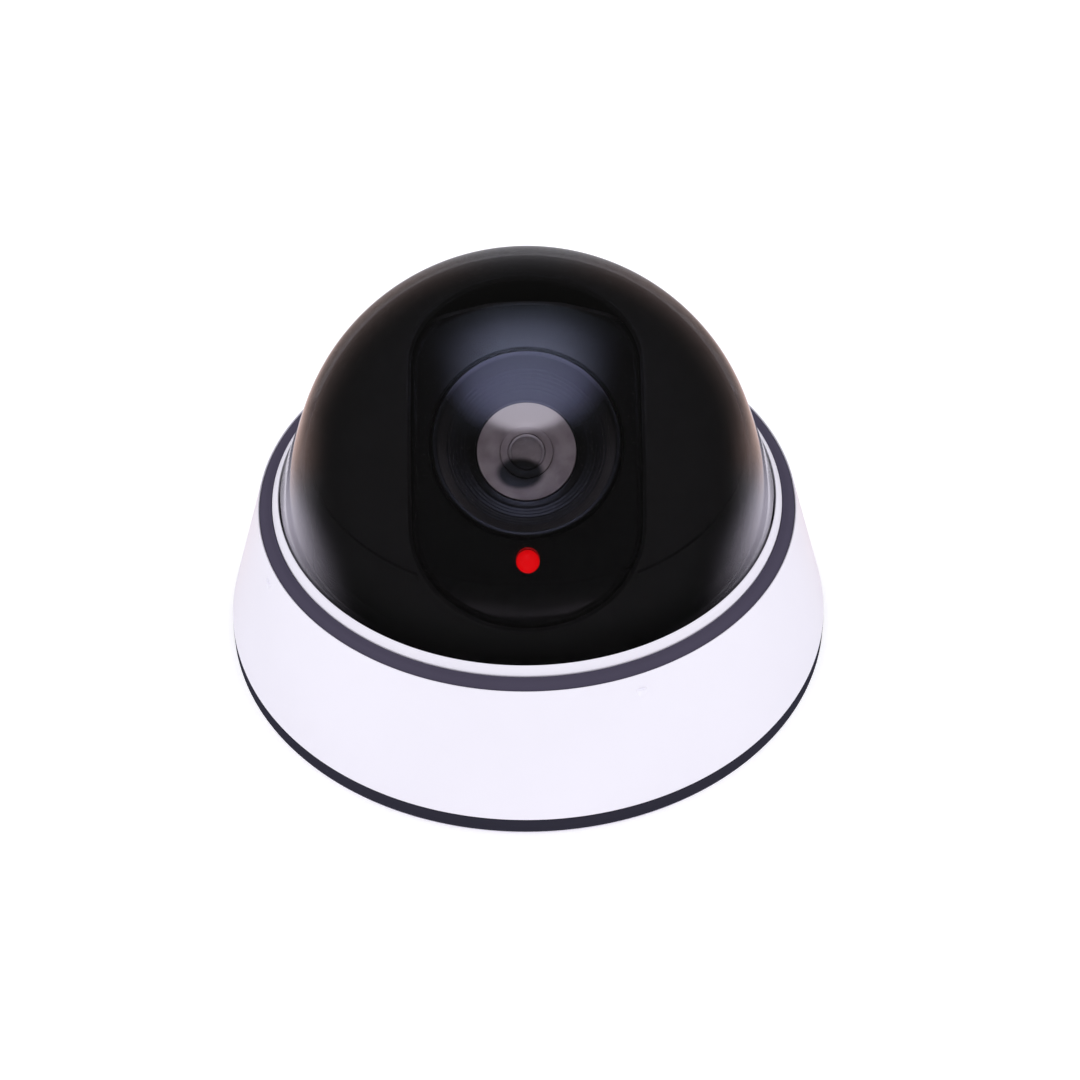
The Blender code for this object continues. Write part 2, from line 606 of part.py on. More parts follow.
def make_eyeball_front(frame, lens, materials):
    ends = (EYEBALL_LOW, EYEBALL_HIGH)
    front = turned("eyeball_front", eyeball_profile(), 14, materials["black"], sweep=ends)
    place(front, frame)
    half = EYEBALL_WALL / 2 + GAP
    discs = [(side * (PIVOT_FACE_X - half), 0, 0) for side in (-1, 1)]
    plates = pegs("pivot_discs", PIVOT_DISC_RADIUS, discs, -half, half, along=(1, 0, 0), sides=MEDIUM)
    add(front, place(plates, frame))
    collar_top = math.sqrt(EYEBALL_RADIUS**2 - COLLAR_RADIUS**2) - 0.5 * MM
    collar = disc("lens_collar", COLLAR_RADIUS, LEDGE_S - COLLAR_LEDGE, collar_top, ROUND)
    add(front, place(collar, lens))
    posts = [(side * LED_POST_X, LED_POST_T, 0) for side in (-1, 1)]
    low = LED_BOARD_S + BOARD_THICKNESS + GAP
    add(front, place(pegs("led_posts", 1.2 * MM, posts, low, led_post_top()), lens))
    normal = edge_normal(EYEBALL_HIGH, 1)
    spots = [back_boss(side, 0) for side in (-1, 1)]
    bosses = pegs("back_bosses", BACK_BOSS_RADIUS, spots, -6.0 * MM, 0.1 * MM, normal, SMALL)
    add(front, place(bosses, frame))
    mouth = disc("collar_bore", HOOD_RADIUS + RUN, LEDGE_S, 2 * EYEBALL_RADIUS, ROUND)
    cut(front, place(mouth, lens))
    cut(front, place(disc("tail_bore", TAIL_RADIUS + RUN, 0, LEDGE_S + MM, MEDIUM), lens))
    hole = disc("led_bore", LED_RADIUS + GAP, low + 1.7 * MM, 2 * EYEBALL_RADIUS, SMALL)
    cut(front, place(hole, lens, (0, -LED_OFFSET, 0)))
    pivot = disc("pivot_bore", PIVOT_RADIUS + GAP, -2 * PIVOT_FACE_X, 2 * PIVOT_FACE_X, SMALL)
    cut(front, place(pivot, frame, along=(1, 0, 0)))
    drill(front, frame, "back_pilot", PILOT_RADIUS, spots, -5.2 * MM, MM, along=normal)


def make_eyeball_back(frame, materials):
    """A bent sheet: a flange behind each edge of the front shell, joined by a drum."""

    def flange_point(angle, side, radius, lift):
        point = math.sqrt(radius**2 - lift**2) * edge_direction(angle) + lift * edge_normal(angle, side)
        return (point.y, point.z)

    def drum(radius, lift):
        first = flange_point(EYEBALL_HIGH, 1, radius, lift)
        last = flange_point(EYEBALL_LOW, -1, radius, lift)
        start = math.degrees(math.atan2(first[1], first[0]))
        end = math.degrees(math.atan2(last[1], last[0]))
        return arc(radius, start, end if end < start else end - 360, 18)

    near, far = GAP, GAP + BACK_WALL
    tip = EYEBALL_RADIUS
    outline = [flange_point(EYEBALL_HIGH, 1, tip, near), *drum(BACK_RADIUS - BACK_WALL, near)]
    outline += [flange_point(EYEBALL_LOW, -1, tip, near), flange_point(EYEBALL_LOW, -1, tip, far)]
    outline += [*reversed(drum(BACK_RADIUS, far)), flange_point(EYEBALL_HIGH, 1, tip, far)]
    half = EYEBALL_HALF_WIDTH - EYEBALL_WALL - 3 * GAP
    back = place(extruded("eyeball_back", outline, -half, half, materials["black"], across="X"), frame)
    bm = bmesh.new()
    bmesh.ops.create_uvsphere(bm, u_segments=32, v_segments=16, radius=EYEBALL_RADIUS - GAP)
    ball = object_of(bm, "back_trim_ball")
    combine(back, place(ball, frame), "INTERSECT")
    spots = [back_boss(side, 0) for side in (-1, 1)]
    normal = edge_normal(EYEBALL_HIGH, 1)
    drill(back, frame, "back_screw", PILOT_RADIUS, spots, -MM, far + MM, along=normal)
    heads = [back_boss(side, far + GAP) for side in (-1, 1)]
    screws("eyeball_screw", frame, heads, normal, materials["steel"], length=5.0 * MM)


def make_pivots(frame, materials):
    for name, side in {"left": -1, "right": 1}.items():
        low, high = PIVOT_FACE_X + GAP, PIVOT_FACE_X + GAP + WASHER_THICKNESS
        bore = PIVOT_RADIUS + GAP
        washer = ring(f"friction_washer_{name}", bore, 6 * MM, low, high, SMALL, materials["rubber"])
        place(washer, frame, along=(side, 0, 0))
        head, height, shank = PIVOT_SCREW
        inner, seat = PIVOT_FACE_X - 3 * MM, ARM_X + ARM_THICKNESS + GAP
        top = seat + height
        profile = [(0, inner), (shank, inner), (shank, seat), (head, seat), (head, top), (0, top)]
        screw = turned(f"tilt_screw_{name}", profile, SMALL, materials["steel"], closed=False)
        place(screw, frame, along=(side, 0, 0))


def make_led(lens, materials):
    low = LED_BOARD_S + BOARD_THICKNESS + GAP
    tip = arc(LED_RADIUS, 0, 90, 4, (0, LED_TIP_S - LED_RADIUS))
    collar = LED_RADIUS - 0.1 * MM
    profile = [(0, low), (collar, low), (collar, low + MM), (LED_RADIUS, low + 1.2 * MM), *tip]
    led = turned("status_led", profile, SMALL, materials["led"], closed=False)
    place(led, lens, (0, -LED_OFFSET, 0))
    size = (10 * MM, 6.2 * MM, BOARD_THICKNESS)
    middle = (0, -LED_OFFSET - 1.4 * MM, LED_BOARD_S + BOARD_THICKNESS / 2)
    place(block("led_board", size, middle, materials["board"]), lens)


# Camera module, in the optical frame


def make_hood(lens, materials):
    throat = BEZEL_RADIUS + GAP
    shoulder = HOOD_BACK_S
    tail = shoulder - 5.0 * MM
    mouth = HOOD_MOUTH - GAP
    lip = HOOD_RADIUS - HOOD_RIM
    steps = 3
    cone = []
    for step in range(steps + 1):
        share = step / steps
        radius = lip + share * (throat + 0.8 * MM - lip)
        depth = mouth - share * (HOOD_DEPTH - GAP)
        cone.append((radius, depth))
    profile = [
        *cone, (throat, HOOD_FLOOR_S), (throat, tail), (TAIL_RADIUS, tail), (TAIL_RADIUS, shoulder),
        (HOOD_RADIUS, shoulder), (HOOD_RADIUS, mouth),
    ]
    place(turned("lens_hood", profile, ROUND, materials["black"]), lens)
    return tail


def make_bezel(lens, materials):
    inner = NOSE_RADIUS + GAP
    top = HOOD_FLOOR_S - GAP
    profile = [
        (BEZEL_RADIUS, top), (BEZEL_RADIUS, top - BEZEL_THICKNESS - BEZEL_DISH),
        (inner, top - BEZEL_THICKNESS - BEZEL_DISH), (inner, top - BEZEL_DISH),
    ]
    place(turned("lens_bezel", profile, MEDIUM, materials["silver"]), lens)


def make_module(lens, tail, materials):
    """Lens mount, sensor board and sensor behind the hood's tail, and the clip that keeps the hood in."""
    clip_top = LEDGE_S - COLLAR_LEDGE - RUN
    inner, outer = TAIL_RADIUS + GAP, TAIL_RADIUS + 2.6 * MM
    place(ring("roll_clip", inner, outer, clip_top - MM, clip_top, MEDIUM, materials["steel"]), lens)
    seat = tail - GAP
    low = seat - 6.0 * MM
    bore = BARREL_RADIUS + GAP
    profile = [
        (bore, low), (bore + 1.8 * MM, low), (bore + 1.8 * MM, seat - 1.4 * MM),
        (TAIL_RADIUS, seat - 1.4 * MM), (TAIL_RADIUS, seat), (bore, seat),
    ]
    place(turned("lens_mount", profile, MEDIUM, materials["black"]), lens)
    top = low - GAP
    radius = TAIL_RADIUS - 0.5 * MM
    board = disc("sensor_board", radius, top - BOARD_THICKNESS, top, MEDIUM, materials["board"])
    place(board, lens)
    size = (7.0 * MM, 6.0 * MM, 0.9 * MM)
    place(block("image_sensor", size, (0, 0, low + 0.45 * MM), materials["chip"]), lens)
    return low


def make_barrel(lens, mount_low, materials):
    nose = HOOD_FLOOR_S - BEZEL_DISH + 0.2 * MM
    neck = HOOD_FLOOR_S - GAP - BEZEL_THICKNESS - BEZEL_DISH - RUN
    rear = mount_low + 2.4 * MM
    seat = nose - 1.6 * MM
    inner = LENS_RADIUS + 0.2 * MM
    aperture = LENS_RADIUS - 1.2 * MM
    profile = [
        (inner, nose), (inner, seat), (aperture, seat), (aperture, rear + 2.4 * MM),
        (inner, rear + 2.4 * MM), (inner, rear), (BARREL_RADIUS, rear), (BARREL_RADIUS, neck),
        (NOSE_RADIUS, neck), (NOSE_RADIUS, nose),
    ]
    place(turned("lens_barrel", profile, MEDIUM, materials["black"]), lens)
    low = seat + GAP
    crown = nose + 1.6 * MM
    squash = (crown - nose) / LENS_RADIUS
    bulge = [(radius, nose + squash * rise) for radius, rise in arc(LENS_RADIUS, 0, 90, 4)[:-1]]
    front = [(0, low), (LENS_RADIUS, low), *bulge, (0, crown)]
    place(turned("front_lens", front, SMALL, materials["glass"], closed=False), lens)
    top = rear + 2.4 * MM - GAP
    rear_profile = [
        (0, rear - 0.3 * MM), (LENS_RADIUS * 0.6, rear), (LENS_RADIUS, rear + 0.5 * MM),
        (LENS_RADIUS, top), (0, top),
    ]
    place(turned("rear_lens", rear_profile, SMALL, materials["glass"], closed=False), lens)


# Cover: housing, trims, dome and what holds the dome

BOSS_ANGLES = (0, 90, 180, 270)
BOSS_RADIUS = 1.7 * MM
BOSS_CIRCLE = DOME_BASE_RADIUS + DOME_FLANGE + GAP + BOSS_RADIUS
RETAINER_RADIUS = BOSS_CIRCLE + 1.5 * MM
BOSSES = [on_circle(BOSS_CIRCLE, angle + 22.5) for angle in BOSS_ANGLES]


def make_housing(frame, materials):
    foot = FOOT_RADIUS - LOWER_TRIM_THICKNESS - GAP
    foot_inner = foot - FOOT_WALL
    groove = SHOULDER_RADIUS + GAP / 2
    slope = UPPER_TRIM_DROP / UPPER_TRIM_WIDTH
    depth = UPPER_TRIM_DEPTH + GAP
    lip = LIP_RADIUS - GAP
    step = abs(foot_inner - housing_inner_radius(GROOVE_Z))
    profile = [
        (foot, FOOT_Z), (foot, GROOVE_Z), (FOOT_RADIUS, GROOVE_Z), (housing_radius(SHOULDER_Z), SHOULDER_Z),
        (groove, SHOULDER_Z), (groove, SHOULDER_Z - depth),
        (lip, SHOULDER_Z - depth + slope * (groove - lip)), (lip, LIP_Z),
        (OPENING_RADIUS + 0.3 * MM, HOUSING_TOP), (OPENING_RADIUS, HOUSING_TOP - 0.3 * MM),
        (OPENING_RADIUS, SEAT_Z), (housing_inner_radius(SEAT_Z), SEAT_Z),
        (housing_inner_radius(GROOVE_Z + step), GROOVE_Z + step), (foot_inner, GROOVE_Z),
        (foot_inner, FOOT_Z),
    ]
    housing = place(turned("housing", profile, ROUND, materials["white"]), frame)
    low, high = RETAINER_Z + RETAINER_THICKNESS + GAP, SEAT_Z + 0.6 * MM
    bosses = place(pegs("dome_bosses", BOSS_RADIUS, BOSSES, low, high, sides=SMALL), frame)
    skin = 0.5 * MM  # the bosses stop this far inside the housing's outer face
    foot, head = low - MM, high + MM
    profile = [
        (0, foot), (housing_radius(foot) - skin, foot), (housing_radius(head) - skin, head), (0, head),
    ]
    trim = turned("boss_trim", profile, ROUND, closed=False)
    combine(bosses, place(trim, frame), "INTERSECT")
    add(housing, bosses)
    drill(housing, frame, "dome_boss", PILOT_RADIUS, BOSSES, low - MM, FLANGE_Z)


def make_trims(frame, materials):
    inner = FOOT_RADIUS - LOWER_TRIM_THICKNESS
    low, high = FOOT_Z, FOOT_Z + LOWER_TRIM_HEIGHT
    soft = 0.4 * MM
    profile = [
        (inner, low), (FOOT_RADIUS, low), (FOOT_RADIUS, high - soft), (FOOT_RADIUS - soft, high),
        (inner, high),
    ]
    place(turned("lower_trim", profile, ROUND, materials["trim"]), frame)
    outer = SHOULDER_RADIUS - GAP / 2
    crown = 0.25 * MM
    middle = ((LIP_RADIUS + outer) / 2, (LIP_Z + SHOULDER_Z) / 2 + crown)
    profile = [
        (outer, SHOULDER_Z), middle, (LIP_RADIUS, LIP_Z), (LIP_RADIUS, LIP_Z - UPPER_TRIM_DEPTH),
        (outer, SHOULDER_Z - UPPER_TRIM_DEPTH),
    ]
    place(turned("upper_trim", profile, ROUND, materials["trim"]), frame)


def make_dome(frame, materials):
    centre = (0, DOME_CENTRE_Z)
    tangent = math.degrees(SKIRT_ANGLE)
    inner = DOME_BASE_RADIUS - DOME_WALL
    outside = arc(DOME_RADIUS, 90, tangent, 8, centre)
    outside += [(DOME_BASE_RADIUS, HOUSING_TOP), (DOME_BASE_RADIUS, FLANGE_TOP_Z)]
    flange = DOME_BASE_RADIUS + DOME_FLANGE
    outside += [(flange, FLANGE_TOP_Z), (flange, FLANGE_Z)]
    inside = [(inner, FLANGE_Z), (inner, HOUSING_TOP), *arc(DOME_RADIUS - DOME_WALL, tangent, 90, 8, centre)]
    place(turned("smoked_dome", outside + inside, ROUND, materials["smoke"], closed=False), frame)
    low = FLANGE_TOP_Z + GAP
    high = low + GASKET_THICKNESS
    gasket = ring("dome_gasket", DOME_BASE_RADIUS + GAP, flange, low, high, ROUND, materials["rubber"])
    place(gasket, frame)


def make_retainer(frame, materials):
    inner = DOME_BASE_RADIUS - 1.0 * MM
    outer = DOME_BASE_RADIUS + 1.6 * MM
    shelf = RETAINER_Z + RETAINER_THICKNESS
    profile = [
        (inner, RETAINER_Z), (RETAINER_RADIUS, RETAINER_Z), (RETAINER_RADIUS, shelf), (outer, shelf),
        (outer, RETAINER_TOP_Z), (inner, RETAINER_TOP_Z),
    ]
    retainer = place(turned("dome_retainer", profile, ROUND, materials["black"]), frame)
    drill(retainer, frame, "retainer_screw", PILOT_RADIUS, BOSSES, RETAINER_Z - MM, shelf + MM)
    heads = [spot + Vector((0, 0, RETAINER_Z - GAP)) for spot in BOSSES]
    screws("retainer_screw", frame, heads, (0, 0, -1), materials["steel"], length=6.0 * MM)


def main():
    for obj in list(bpy.data.objects):
        bpy.data.objects.remove(obj)
    materials = make_materials()

    base = frame_at("base", None, (0, 0, 0))
    make_base_plate(base, materials["white"])
    make_bearing(base, materials)
    make_main_board(base, materials)
    make_service_board(base, materials)
    make_grommet(base, materials["rubber"])

    pan = frame_at("pan_axis", base, (0, 0, 0))
    make_turntable(pan, materials)
    make_yoke(pan, materials)
    make_liner(pan, materials)

    tilt = frame_at("tilt_axis", pan, (0, 0, DOME_CENTRE_Z))
    lens = frame_at("optical_axis", tilt, (0, 0, 0), math.pi / 2 - LENS_ELEVATION)
    make_eyeball_front(tilt, lens, materials)
    make_eyeball_back(tilt, materials)
    make_pivots(tilt, materials)
    make_led(lens, materials)

    tail = make_hood(lens, materials)
    make_bezel(lens, materials)
    mount_low = make_module(lens, tail, materials)
    make_barrel(lens, mount_low, materials)

    cover = frame_at("cover_slide", base, (0, 0, 0))
    make_housing(cover, materials)
    make_trims(cover, materials)
    make_dome(cover, materials)
    make_retainer(cover, materials)


main()
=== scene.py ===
"""Looks of the dome security camera: fine meshes, materials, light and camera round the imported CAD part.

Metres, +Z up, -Y to the front, as in the CAD. Heights and radii in the outlines are in millimetres.
"""

import json
import math

import bmesh
import bpy
from mathutils import Matrix, Vector


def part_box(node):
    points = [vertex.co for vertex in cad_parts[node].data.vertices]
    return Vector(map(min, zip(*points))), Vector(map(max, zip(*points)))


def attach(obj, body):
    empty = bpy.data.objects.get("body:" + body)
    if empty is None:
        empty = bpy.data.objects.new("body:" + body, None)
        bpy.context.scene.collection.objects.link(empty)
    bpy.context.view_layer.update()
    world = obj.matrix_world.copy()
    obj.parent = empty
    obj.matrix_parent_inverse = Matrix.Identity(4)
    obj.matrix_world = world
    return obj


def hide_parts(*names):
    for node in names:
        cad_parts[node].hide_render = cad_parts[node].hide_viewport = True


MM = 0.001
ROUND = 256  # sides of the large turned pieces
FINE = 96
SMALL = 40
SHARP = math.radians(38)  # faces that meet at more than this keep a hard edge

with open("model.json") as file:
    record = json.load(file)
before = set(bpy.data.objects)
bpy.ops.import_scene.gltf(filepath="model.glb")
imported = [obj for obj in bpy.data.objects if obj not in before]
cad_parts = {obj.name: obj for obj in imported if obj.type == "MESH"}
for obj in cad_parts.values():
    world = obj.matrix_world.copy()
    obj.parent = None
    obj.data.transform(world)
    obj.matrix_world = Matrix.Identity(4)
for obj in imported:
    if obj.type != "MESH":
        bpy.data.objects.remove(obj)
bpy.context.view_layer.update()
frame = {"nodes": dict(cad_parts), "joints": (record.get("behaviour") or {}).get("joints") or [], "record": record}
NODES = frame["nodes"]
RECORD = frame["record"]
JOINTS = {joint["name"]: joint for joint in frame["joints"]}
BODY_OF = {node: body for body, nodes in RECORD["behaviour"]["bodies"].items() for node in nodes}
SLOT_OF = {row["node"]: row["material_slot"] for row in RECORD["subparts"]}

CENTRE = Vector(JOINTS["lens_tilt"]["pos_m"])  # middle of the dome and of the eyeball
LENS_AXIS = Vector(JOINTS["hood_roll"]["axis"])
TILT_FRAME = Matrix.Translation(CENTRE)
LENS_TURN = LENS_AXIS.to_track_quat("Z", "Y").to_matrix().to_4x4()
LENS_FRAME = TILT_FRAME @ LENS_TURN
# Frames at each side of the tilt axis, with Z along it
ACROSS = {side: TILT_FRAME @ Matrix.Rotation(side * math.pi / 2, 4, "Y") for side in (-1, 1)}


# Sizes in millimetres


def corners(node):
    """The node's box as its low and high corner."""
    return [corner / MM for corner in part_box(node)]


def top(node):
    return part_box(node)[1].z / MM


def bottom(node):
    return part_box(node)[0].z / MM


def radius(node):
    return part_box(node)[1].x / MM


CZ = CENTRE.z / MM
FOOT = radius("lower_trim")
HOUSING_TOP = top("housing")
DOME = top("smoked_dome") - CZ
DOME_WALL = 1.8
SKIRT_ANGLE = 18
DOME_BASE = 48.02
LINER = radius("dome_liner")
LINER_WALL = 1.2
LINER_FOOT = bottom("dome_liner")
SLOT_HALF_WIDTH = 21.4
SLOT_END = 18.0
SLOT_LOW, SLOT_HIGH = math.radians(2.3), math.radians(105)
SEAM_HEIGHT = 10.5  # of the fine seam on the liner and the eyeball, above the dome's centre
EYEBALL = 41.3
EYEBALL_WALL = 1.5
EYEBALL_HALF_WIDTH = 24.0
EYEBALL_LOW, EYEBALL_HIGH = -18.0, 94.03  # edges of the front shell, in degrees
HOOD = 17.0
HOOD_MOUTH = 37.34
HOOD_FLOOR = 30.24
HOOD_BACK = 27.94
HOOD_TAIL = 22.94
TAIL = 11.5
LED = 2.1
LED_OFFSET = 21.0  # below the lens axis
BEZEL = 9.1
BEZEL_DISH = 1.2
BEZEL_HOLE = 4.87
NOSE = 4.82
LENS = 3.3
PILOT = 1.1  # of the holes for small screws
PIVOT = 2.8  # of the holes for the tilt screws
PAINTED_DARK_REFLECTION = (-1.2, -3.85), (4.2, 2.9)  # middle and half sizes of the painted dark reflection below the lens
PAINTED_HIGHLIGHT = (-0.3, 7.6), (7.4, 3.4)  # the same of the painted highlight above the lens
PAINTED_HOOD_LIGHT = (0.0, 14.5), (13.0, 9.5)  # the same of the painted light on the hood


# Materials


BLACK = (0.0065, 0.0068, 0.007)
SMOKE = (0.008, 0.008, 0.0075)
GLASS = (0.8, 0.76, 0.78)


class Nodes:
    """Short calls that add nodes to a node tree and link them."""

    def __init__(self, tree):
        self.tree = tree

    def node(self, kind, **settings):
        made = self.tree.nodes.new(kind)
        for name, value in settings.items():
            setattr(made, name, value)
        return made

    def link(self, source, target):
        self.tree.links.new(source, target)

    def feed(self, target, value):
        """Sets a socket to a number, or links it to another node's output."""
        if isinstance(value, (int, float)):
            target.default_value = value
        else:
            self.link(value, target)

    def math(self, operation, *values):
        node = self.node("ShaderNodeMath", operation=operation)
        for socket, value in zip(node.inputs, values):
            self.feed(socket, value)
        return node.outputs["Value"]

    def ranged(self, source, low, high, start=0.3, end=0.7, kind="SMOOTHSTEP"):
        """Goes from low to high while the source goes from start to end."""
        ramp = self.node("ShaderNodeMapRange", interpolation_type=kind)
        for socket, value in {"From Min": start, "From Max": end, "To Min": low, "To Max": high}.items():
            ramp.inputs[socket].default_value = value
        self.link(source, ramp.inputs["Value"])
        return ramp.outputs["Result"]


class Look(Nodes):
    """A node material with its Principled shader, and short calls for the nodes that vary it."""

    def __init__(self, name, colour, roughness, **sockets):
        self.material = bpy.data.materials.new(name)
        self.material.use_nodes = True
        super().__init__(self.material.node_tree)
        self.shader = self.tree.nodes["Principled BSDF"]
        self.colour = colour
        self.shader.inputs["Base Color"].default_value = (*colour, 1)
        self.shader.inputs["Roughness"].default_value = roughness
        for socket, value in sockets.items():
            self.shader.inputs[socket].default_value = value
        self.place = self.node("ShaderNodeTexCoord").outputs["Object"]

    def noise(self, scale, detail=3.0, stretch=(1, 1, 1)):
        """Noise whose scale is in features for each metre."""
        spread = self.node("ShaderNodeMapping")
        spread.inputs["Scale"].default_value = stretch
        self.link(self.place, spread.inputs["Vector"])
        noise = self.node("ShaderNodeTexNoise")
        noise.inputs["Scale"].default_value = scale
        noise.inputs["Detail"].default_value = detail
        self.link(spread.outputs["Vector"], noise.inputs["Vector"])
        return noise.outputs["Fac"]

    def mixed(self, share, first, second):
        """Mixes two colours, each given as a colour or as another node's output."""
        mix = self.node("ShaderNodeMix", data_type="RGBA")
        self.link(share, mix.inputs["Factor"])
        for number, colour in ((6, first), (7, second)):
            if isinstance(colour, tuple):
                mix.inputs[number].default_value = (*colour, 1)
            else:
                self.link(colour, mix.inputs[number])
        return mix.outputs[2]

    def vary_colour(self, scale, amount, stretch=(1, 1, 1)):
        darker = tuple(channel * (1 - amount) for channel in self.colour)
        share = self.ranged(self.noise(scale, stretch=stretch), 0, 1)
        self.link(self.mixed(share, darker, self.colour), self.shader.inputs["Base Color"])

    def vary_roughness(self, scale, low, high, stretch=(1, 1, 1)):
        rough = self.ranged(self.noise(scale, stretch=stretch), low, high)
        self.link(rough, self.shader.inputs["Roughness"])

    def bump(self, source, distance):
        bump = self.node("ShaderNodeBump")
        bump.inputs["Distance"].default_value = distance
        bump.inputs["Strength"].default_value = 1.0
        self.link(source, bump.inputs["Height"])
        self.link(bump.outputs["Normal"], self.shader.inputs["Normal"])

    def grain(self, scale, distance):
        """The fine texture that a mould leaves."""
        self.bump(self.noise(scale, detail=2.0), distance)

    def glow(self, colour, strength):
        """Gives off light. The strength is a number or another node's output."""
        self.shader.inputs["Emission Color"].default_value = (*colour, 1)
        self.feed(self.shader.inputs["Emission Strength"], strength)

    def facing(self):
        """0 where the surface faces the viewer, rising to 1 at a glancing angle."""
        weight = self.node("ShaderNodeLayerWeight")
        weight.inputs["Blend"].default_value = 0.5
        return weight.outputs["Facing"]

    def see_through(self, skin, tint=(1, 1, 1)):
        """Lets light pass straight through, but for the share that the skin takes."""
        clear = self.node("ShaderNodeBsdfTransparent")
        clear.inputs["Color"].default_value = (*tint, 1)
        mix = self.node("ShaderNodeMixShader")
        self.link(skin, mix.inputs["Fac"])
        self.link(clear.outputs["BSDF"], mix.inputs[1])
        self.link(self.shader.outputs["BSDF"], mix.inputs[2])
        self.link(mix.outputs["Shader"], self.tree.nodes["Material Output"].inputs["Surface"])

    def oval(self, middle, size, blur=0.35):
        """1 inside a soft-edged oval across the lens axis, 0 outside it. Sizes are in millimetres."""
        spread = self.node("ShaderNodeMapping", vector_type="TEXTURE")
        spread.inputs["Location"].default_value = LENS_FRAME @ (Vector((*middle, 0)) * MM)
        spread.inputs["Rotation"].default_value = LENS_FRAME.to_euler()
        spread.inputs["Scale"].default_value = (size[0] * MM, size[1] * MM, 1)
        self.link(self.place, spread.inputs["Vector"])
        flat = self.node("ShaderNodeVectorMath", operation="MULTIPLY")
        flat.inputs[1].default_value = (1, 1, 0)
        self.link(spread.outputs["Vector"], flat.inputs[0])
        length = self.node("ShaderNodeVectorMath", operation="LENGTH")
        self.link(flat.outputs["Vector"], length.inputs[0])
        return self.ranged(length.outputs["Value"], 1, 0, 1 - blur, 1 + blur)


def moulded(name, colour, low, high, grain_scale=2600, grain=0.004 * MM, amount=0.05, **sockets):
    look = Look(name, colour, (low + high) / 2, **sockets)
    look.vary_colour(35, amount)
    look.vary_roughness(140, low, high)
    look.grain(grain_scale, grain)
    return look


def white_plastic():
    colour, dull = (0.88, 0.86, 0.93), {"Specular IOR Level": 0.2}
    return moulded("white_plastic", colour, 0.3, 0.38, amount=0.015, grain=0.002 * MM, **dull)


def smoked_acrylic():
    """Tinted sheet: a polished black skin that lets part of the light through, less of it at an angle, with a
    painted reflection: a pale base colour at a glancing angle on the low skirt.
    """
    look = Look("smoked_acrylic", SMOKE, 0.03, **{"Specular IOR Level": 0.32})
    look.shader.inputs["Sheen Weight"].default_value = 0.12
    look.shader.inputs["Sheen Roughness"].default_value = 0.25
    look.vary_roughness(60, 0.02, 0.045)
    facing = look.facing()
    height = look.node("ShaderNodeSeparateXYZ")
    look.link(look.place, height.inputs["Vector"])
    skirt = look.ranged(height.outputs["Z"], 1, 0, (CZ + 1.5) * MM, (CZ + 12) * MM)
    # Painted reflection: a pale lavender base colour at glancing angles, only on the low skirt.
    edge = look.math("MULTIPLY", look.ranged(facing, 0, 0.62, 0.4, 0.85), skirt)
    look.link(look.mixed(edge, SMOKE, (0.9, 0.85, 0.98)), look.shader.inputs["Base Color"])
    look.see_through(look.ranged(facing, 0.26, 0.97, 0.3, 0.95), (0.96, 0.94, 0.965))
    return look


def hood_plastic():
    """Black plastic with painted light: a paler bluish area on the hood's upper side."""
    look = Look("black_plastic_hood", BLACK, 0.24, **{"Specular IOR Level": 0.45})
    # Painted light: a paler bluish colour inside the oval.
    painted_hood_light_colour = look.mixed(look.oval(*PAINTED_HOOD_LIGHT), BLACK, (0.24, 0.265, 0.42))
    look.link(painted_hood_light_colour, look.shader.inputs["Base Color"])
    look.vary_roughness(140, 0.22, 0.27)
    look.grain(2600, 0.0015 * MM)
    return look


def lens_glass():
    look = Look("lens_glass", GLASS, 0.03, IOR=1.5, **{"Specular IOR Level": 1.0})
    # Painted dark reflection: a near-black oval below the lens axis.
    patch = look.mixed(look.oval(*PAINTED_DARK_REFLECTION, blur=0.2), GLASS, (0.01, 0.01, 0.01))
    look.link(patch, look.shader.inputs["Base Color"])
    look.vary_roughness(400, 0.02, 0.05)
    look.see_through(look.ranged(look.facing(), 0.08, 1.0, 0.15, 0.7))
    return look


def reflector():
    """The pearly dish round the lens, with a painted highlight and a painted glow above the lens and a painted
    dark reflection below it.
    """
    look = Look("silvered_reflector", (0.8, 0.74, 0.75), 0.4, **{"Specular IOR Level": 0.3})
    cloudy = look.mixed(look.ranged(look.noise(260), 0, 1), (0.34, 0.30, 0.305), (0.5, 0.455, 0.46))
    # Painted highlight above the lens: a pale colour, and a glow that stands in for a glint.
    highlight_mask = look.oval(*PAINTED_HIGHLIGHT)
    lit = look.mixed(highlight_mask, cloudy, (0.95, 0.93, 0.96))
    look.glow((1, 0.97, 1), look.ranged(highlight_mask, 0, 0.3, 0, 1))
    # Painted dark reflection: the same near-black oval below the lens.
    patched = look.mixed(look.oval(*PAINTED_DARK_REFLECTION, blur=0.2), lit, (0.012, 0.013, 0.013))
    look.link(patched, look.shader.inputs["Base Color"])
    look.vary_roughness(500, 0.28, 0.42)
    look.bump(look.noise(700), 0.02 * MM)
    return look


def silvered_metal():
    look = Look("silvered_metal", (0.72, 0.70, 0.70), 0.3, Metallic=1.0)
    look.vary_roughness(300, 0.22, 0.36, stretch=(1, 8, 8))
    look.vary_colour(60, 0.06)
    return look


def red_lens():
    look = Look("red_lens", (0.78, 0.002, 0.004), 0.22, **{"Specular IOR Level": 0.15})
    look.glow((1.0, 0.001, 0.004), 1.0)
    look.vary_roughness(900, 0.18, 0.26)
    look.vary_colour(900, 0.05)
    return look


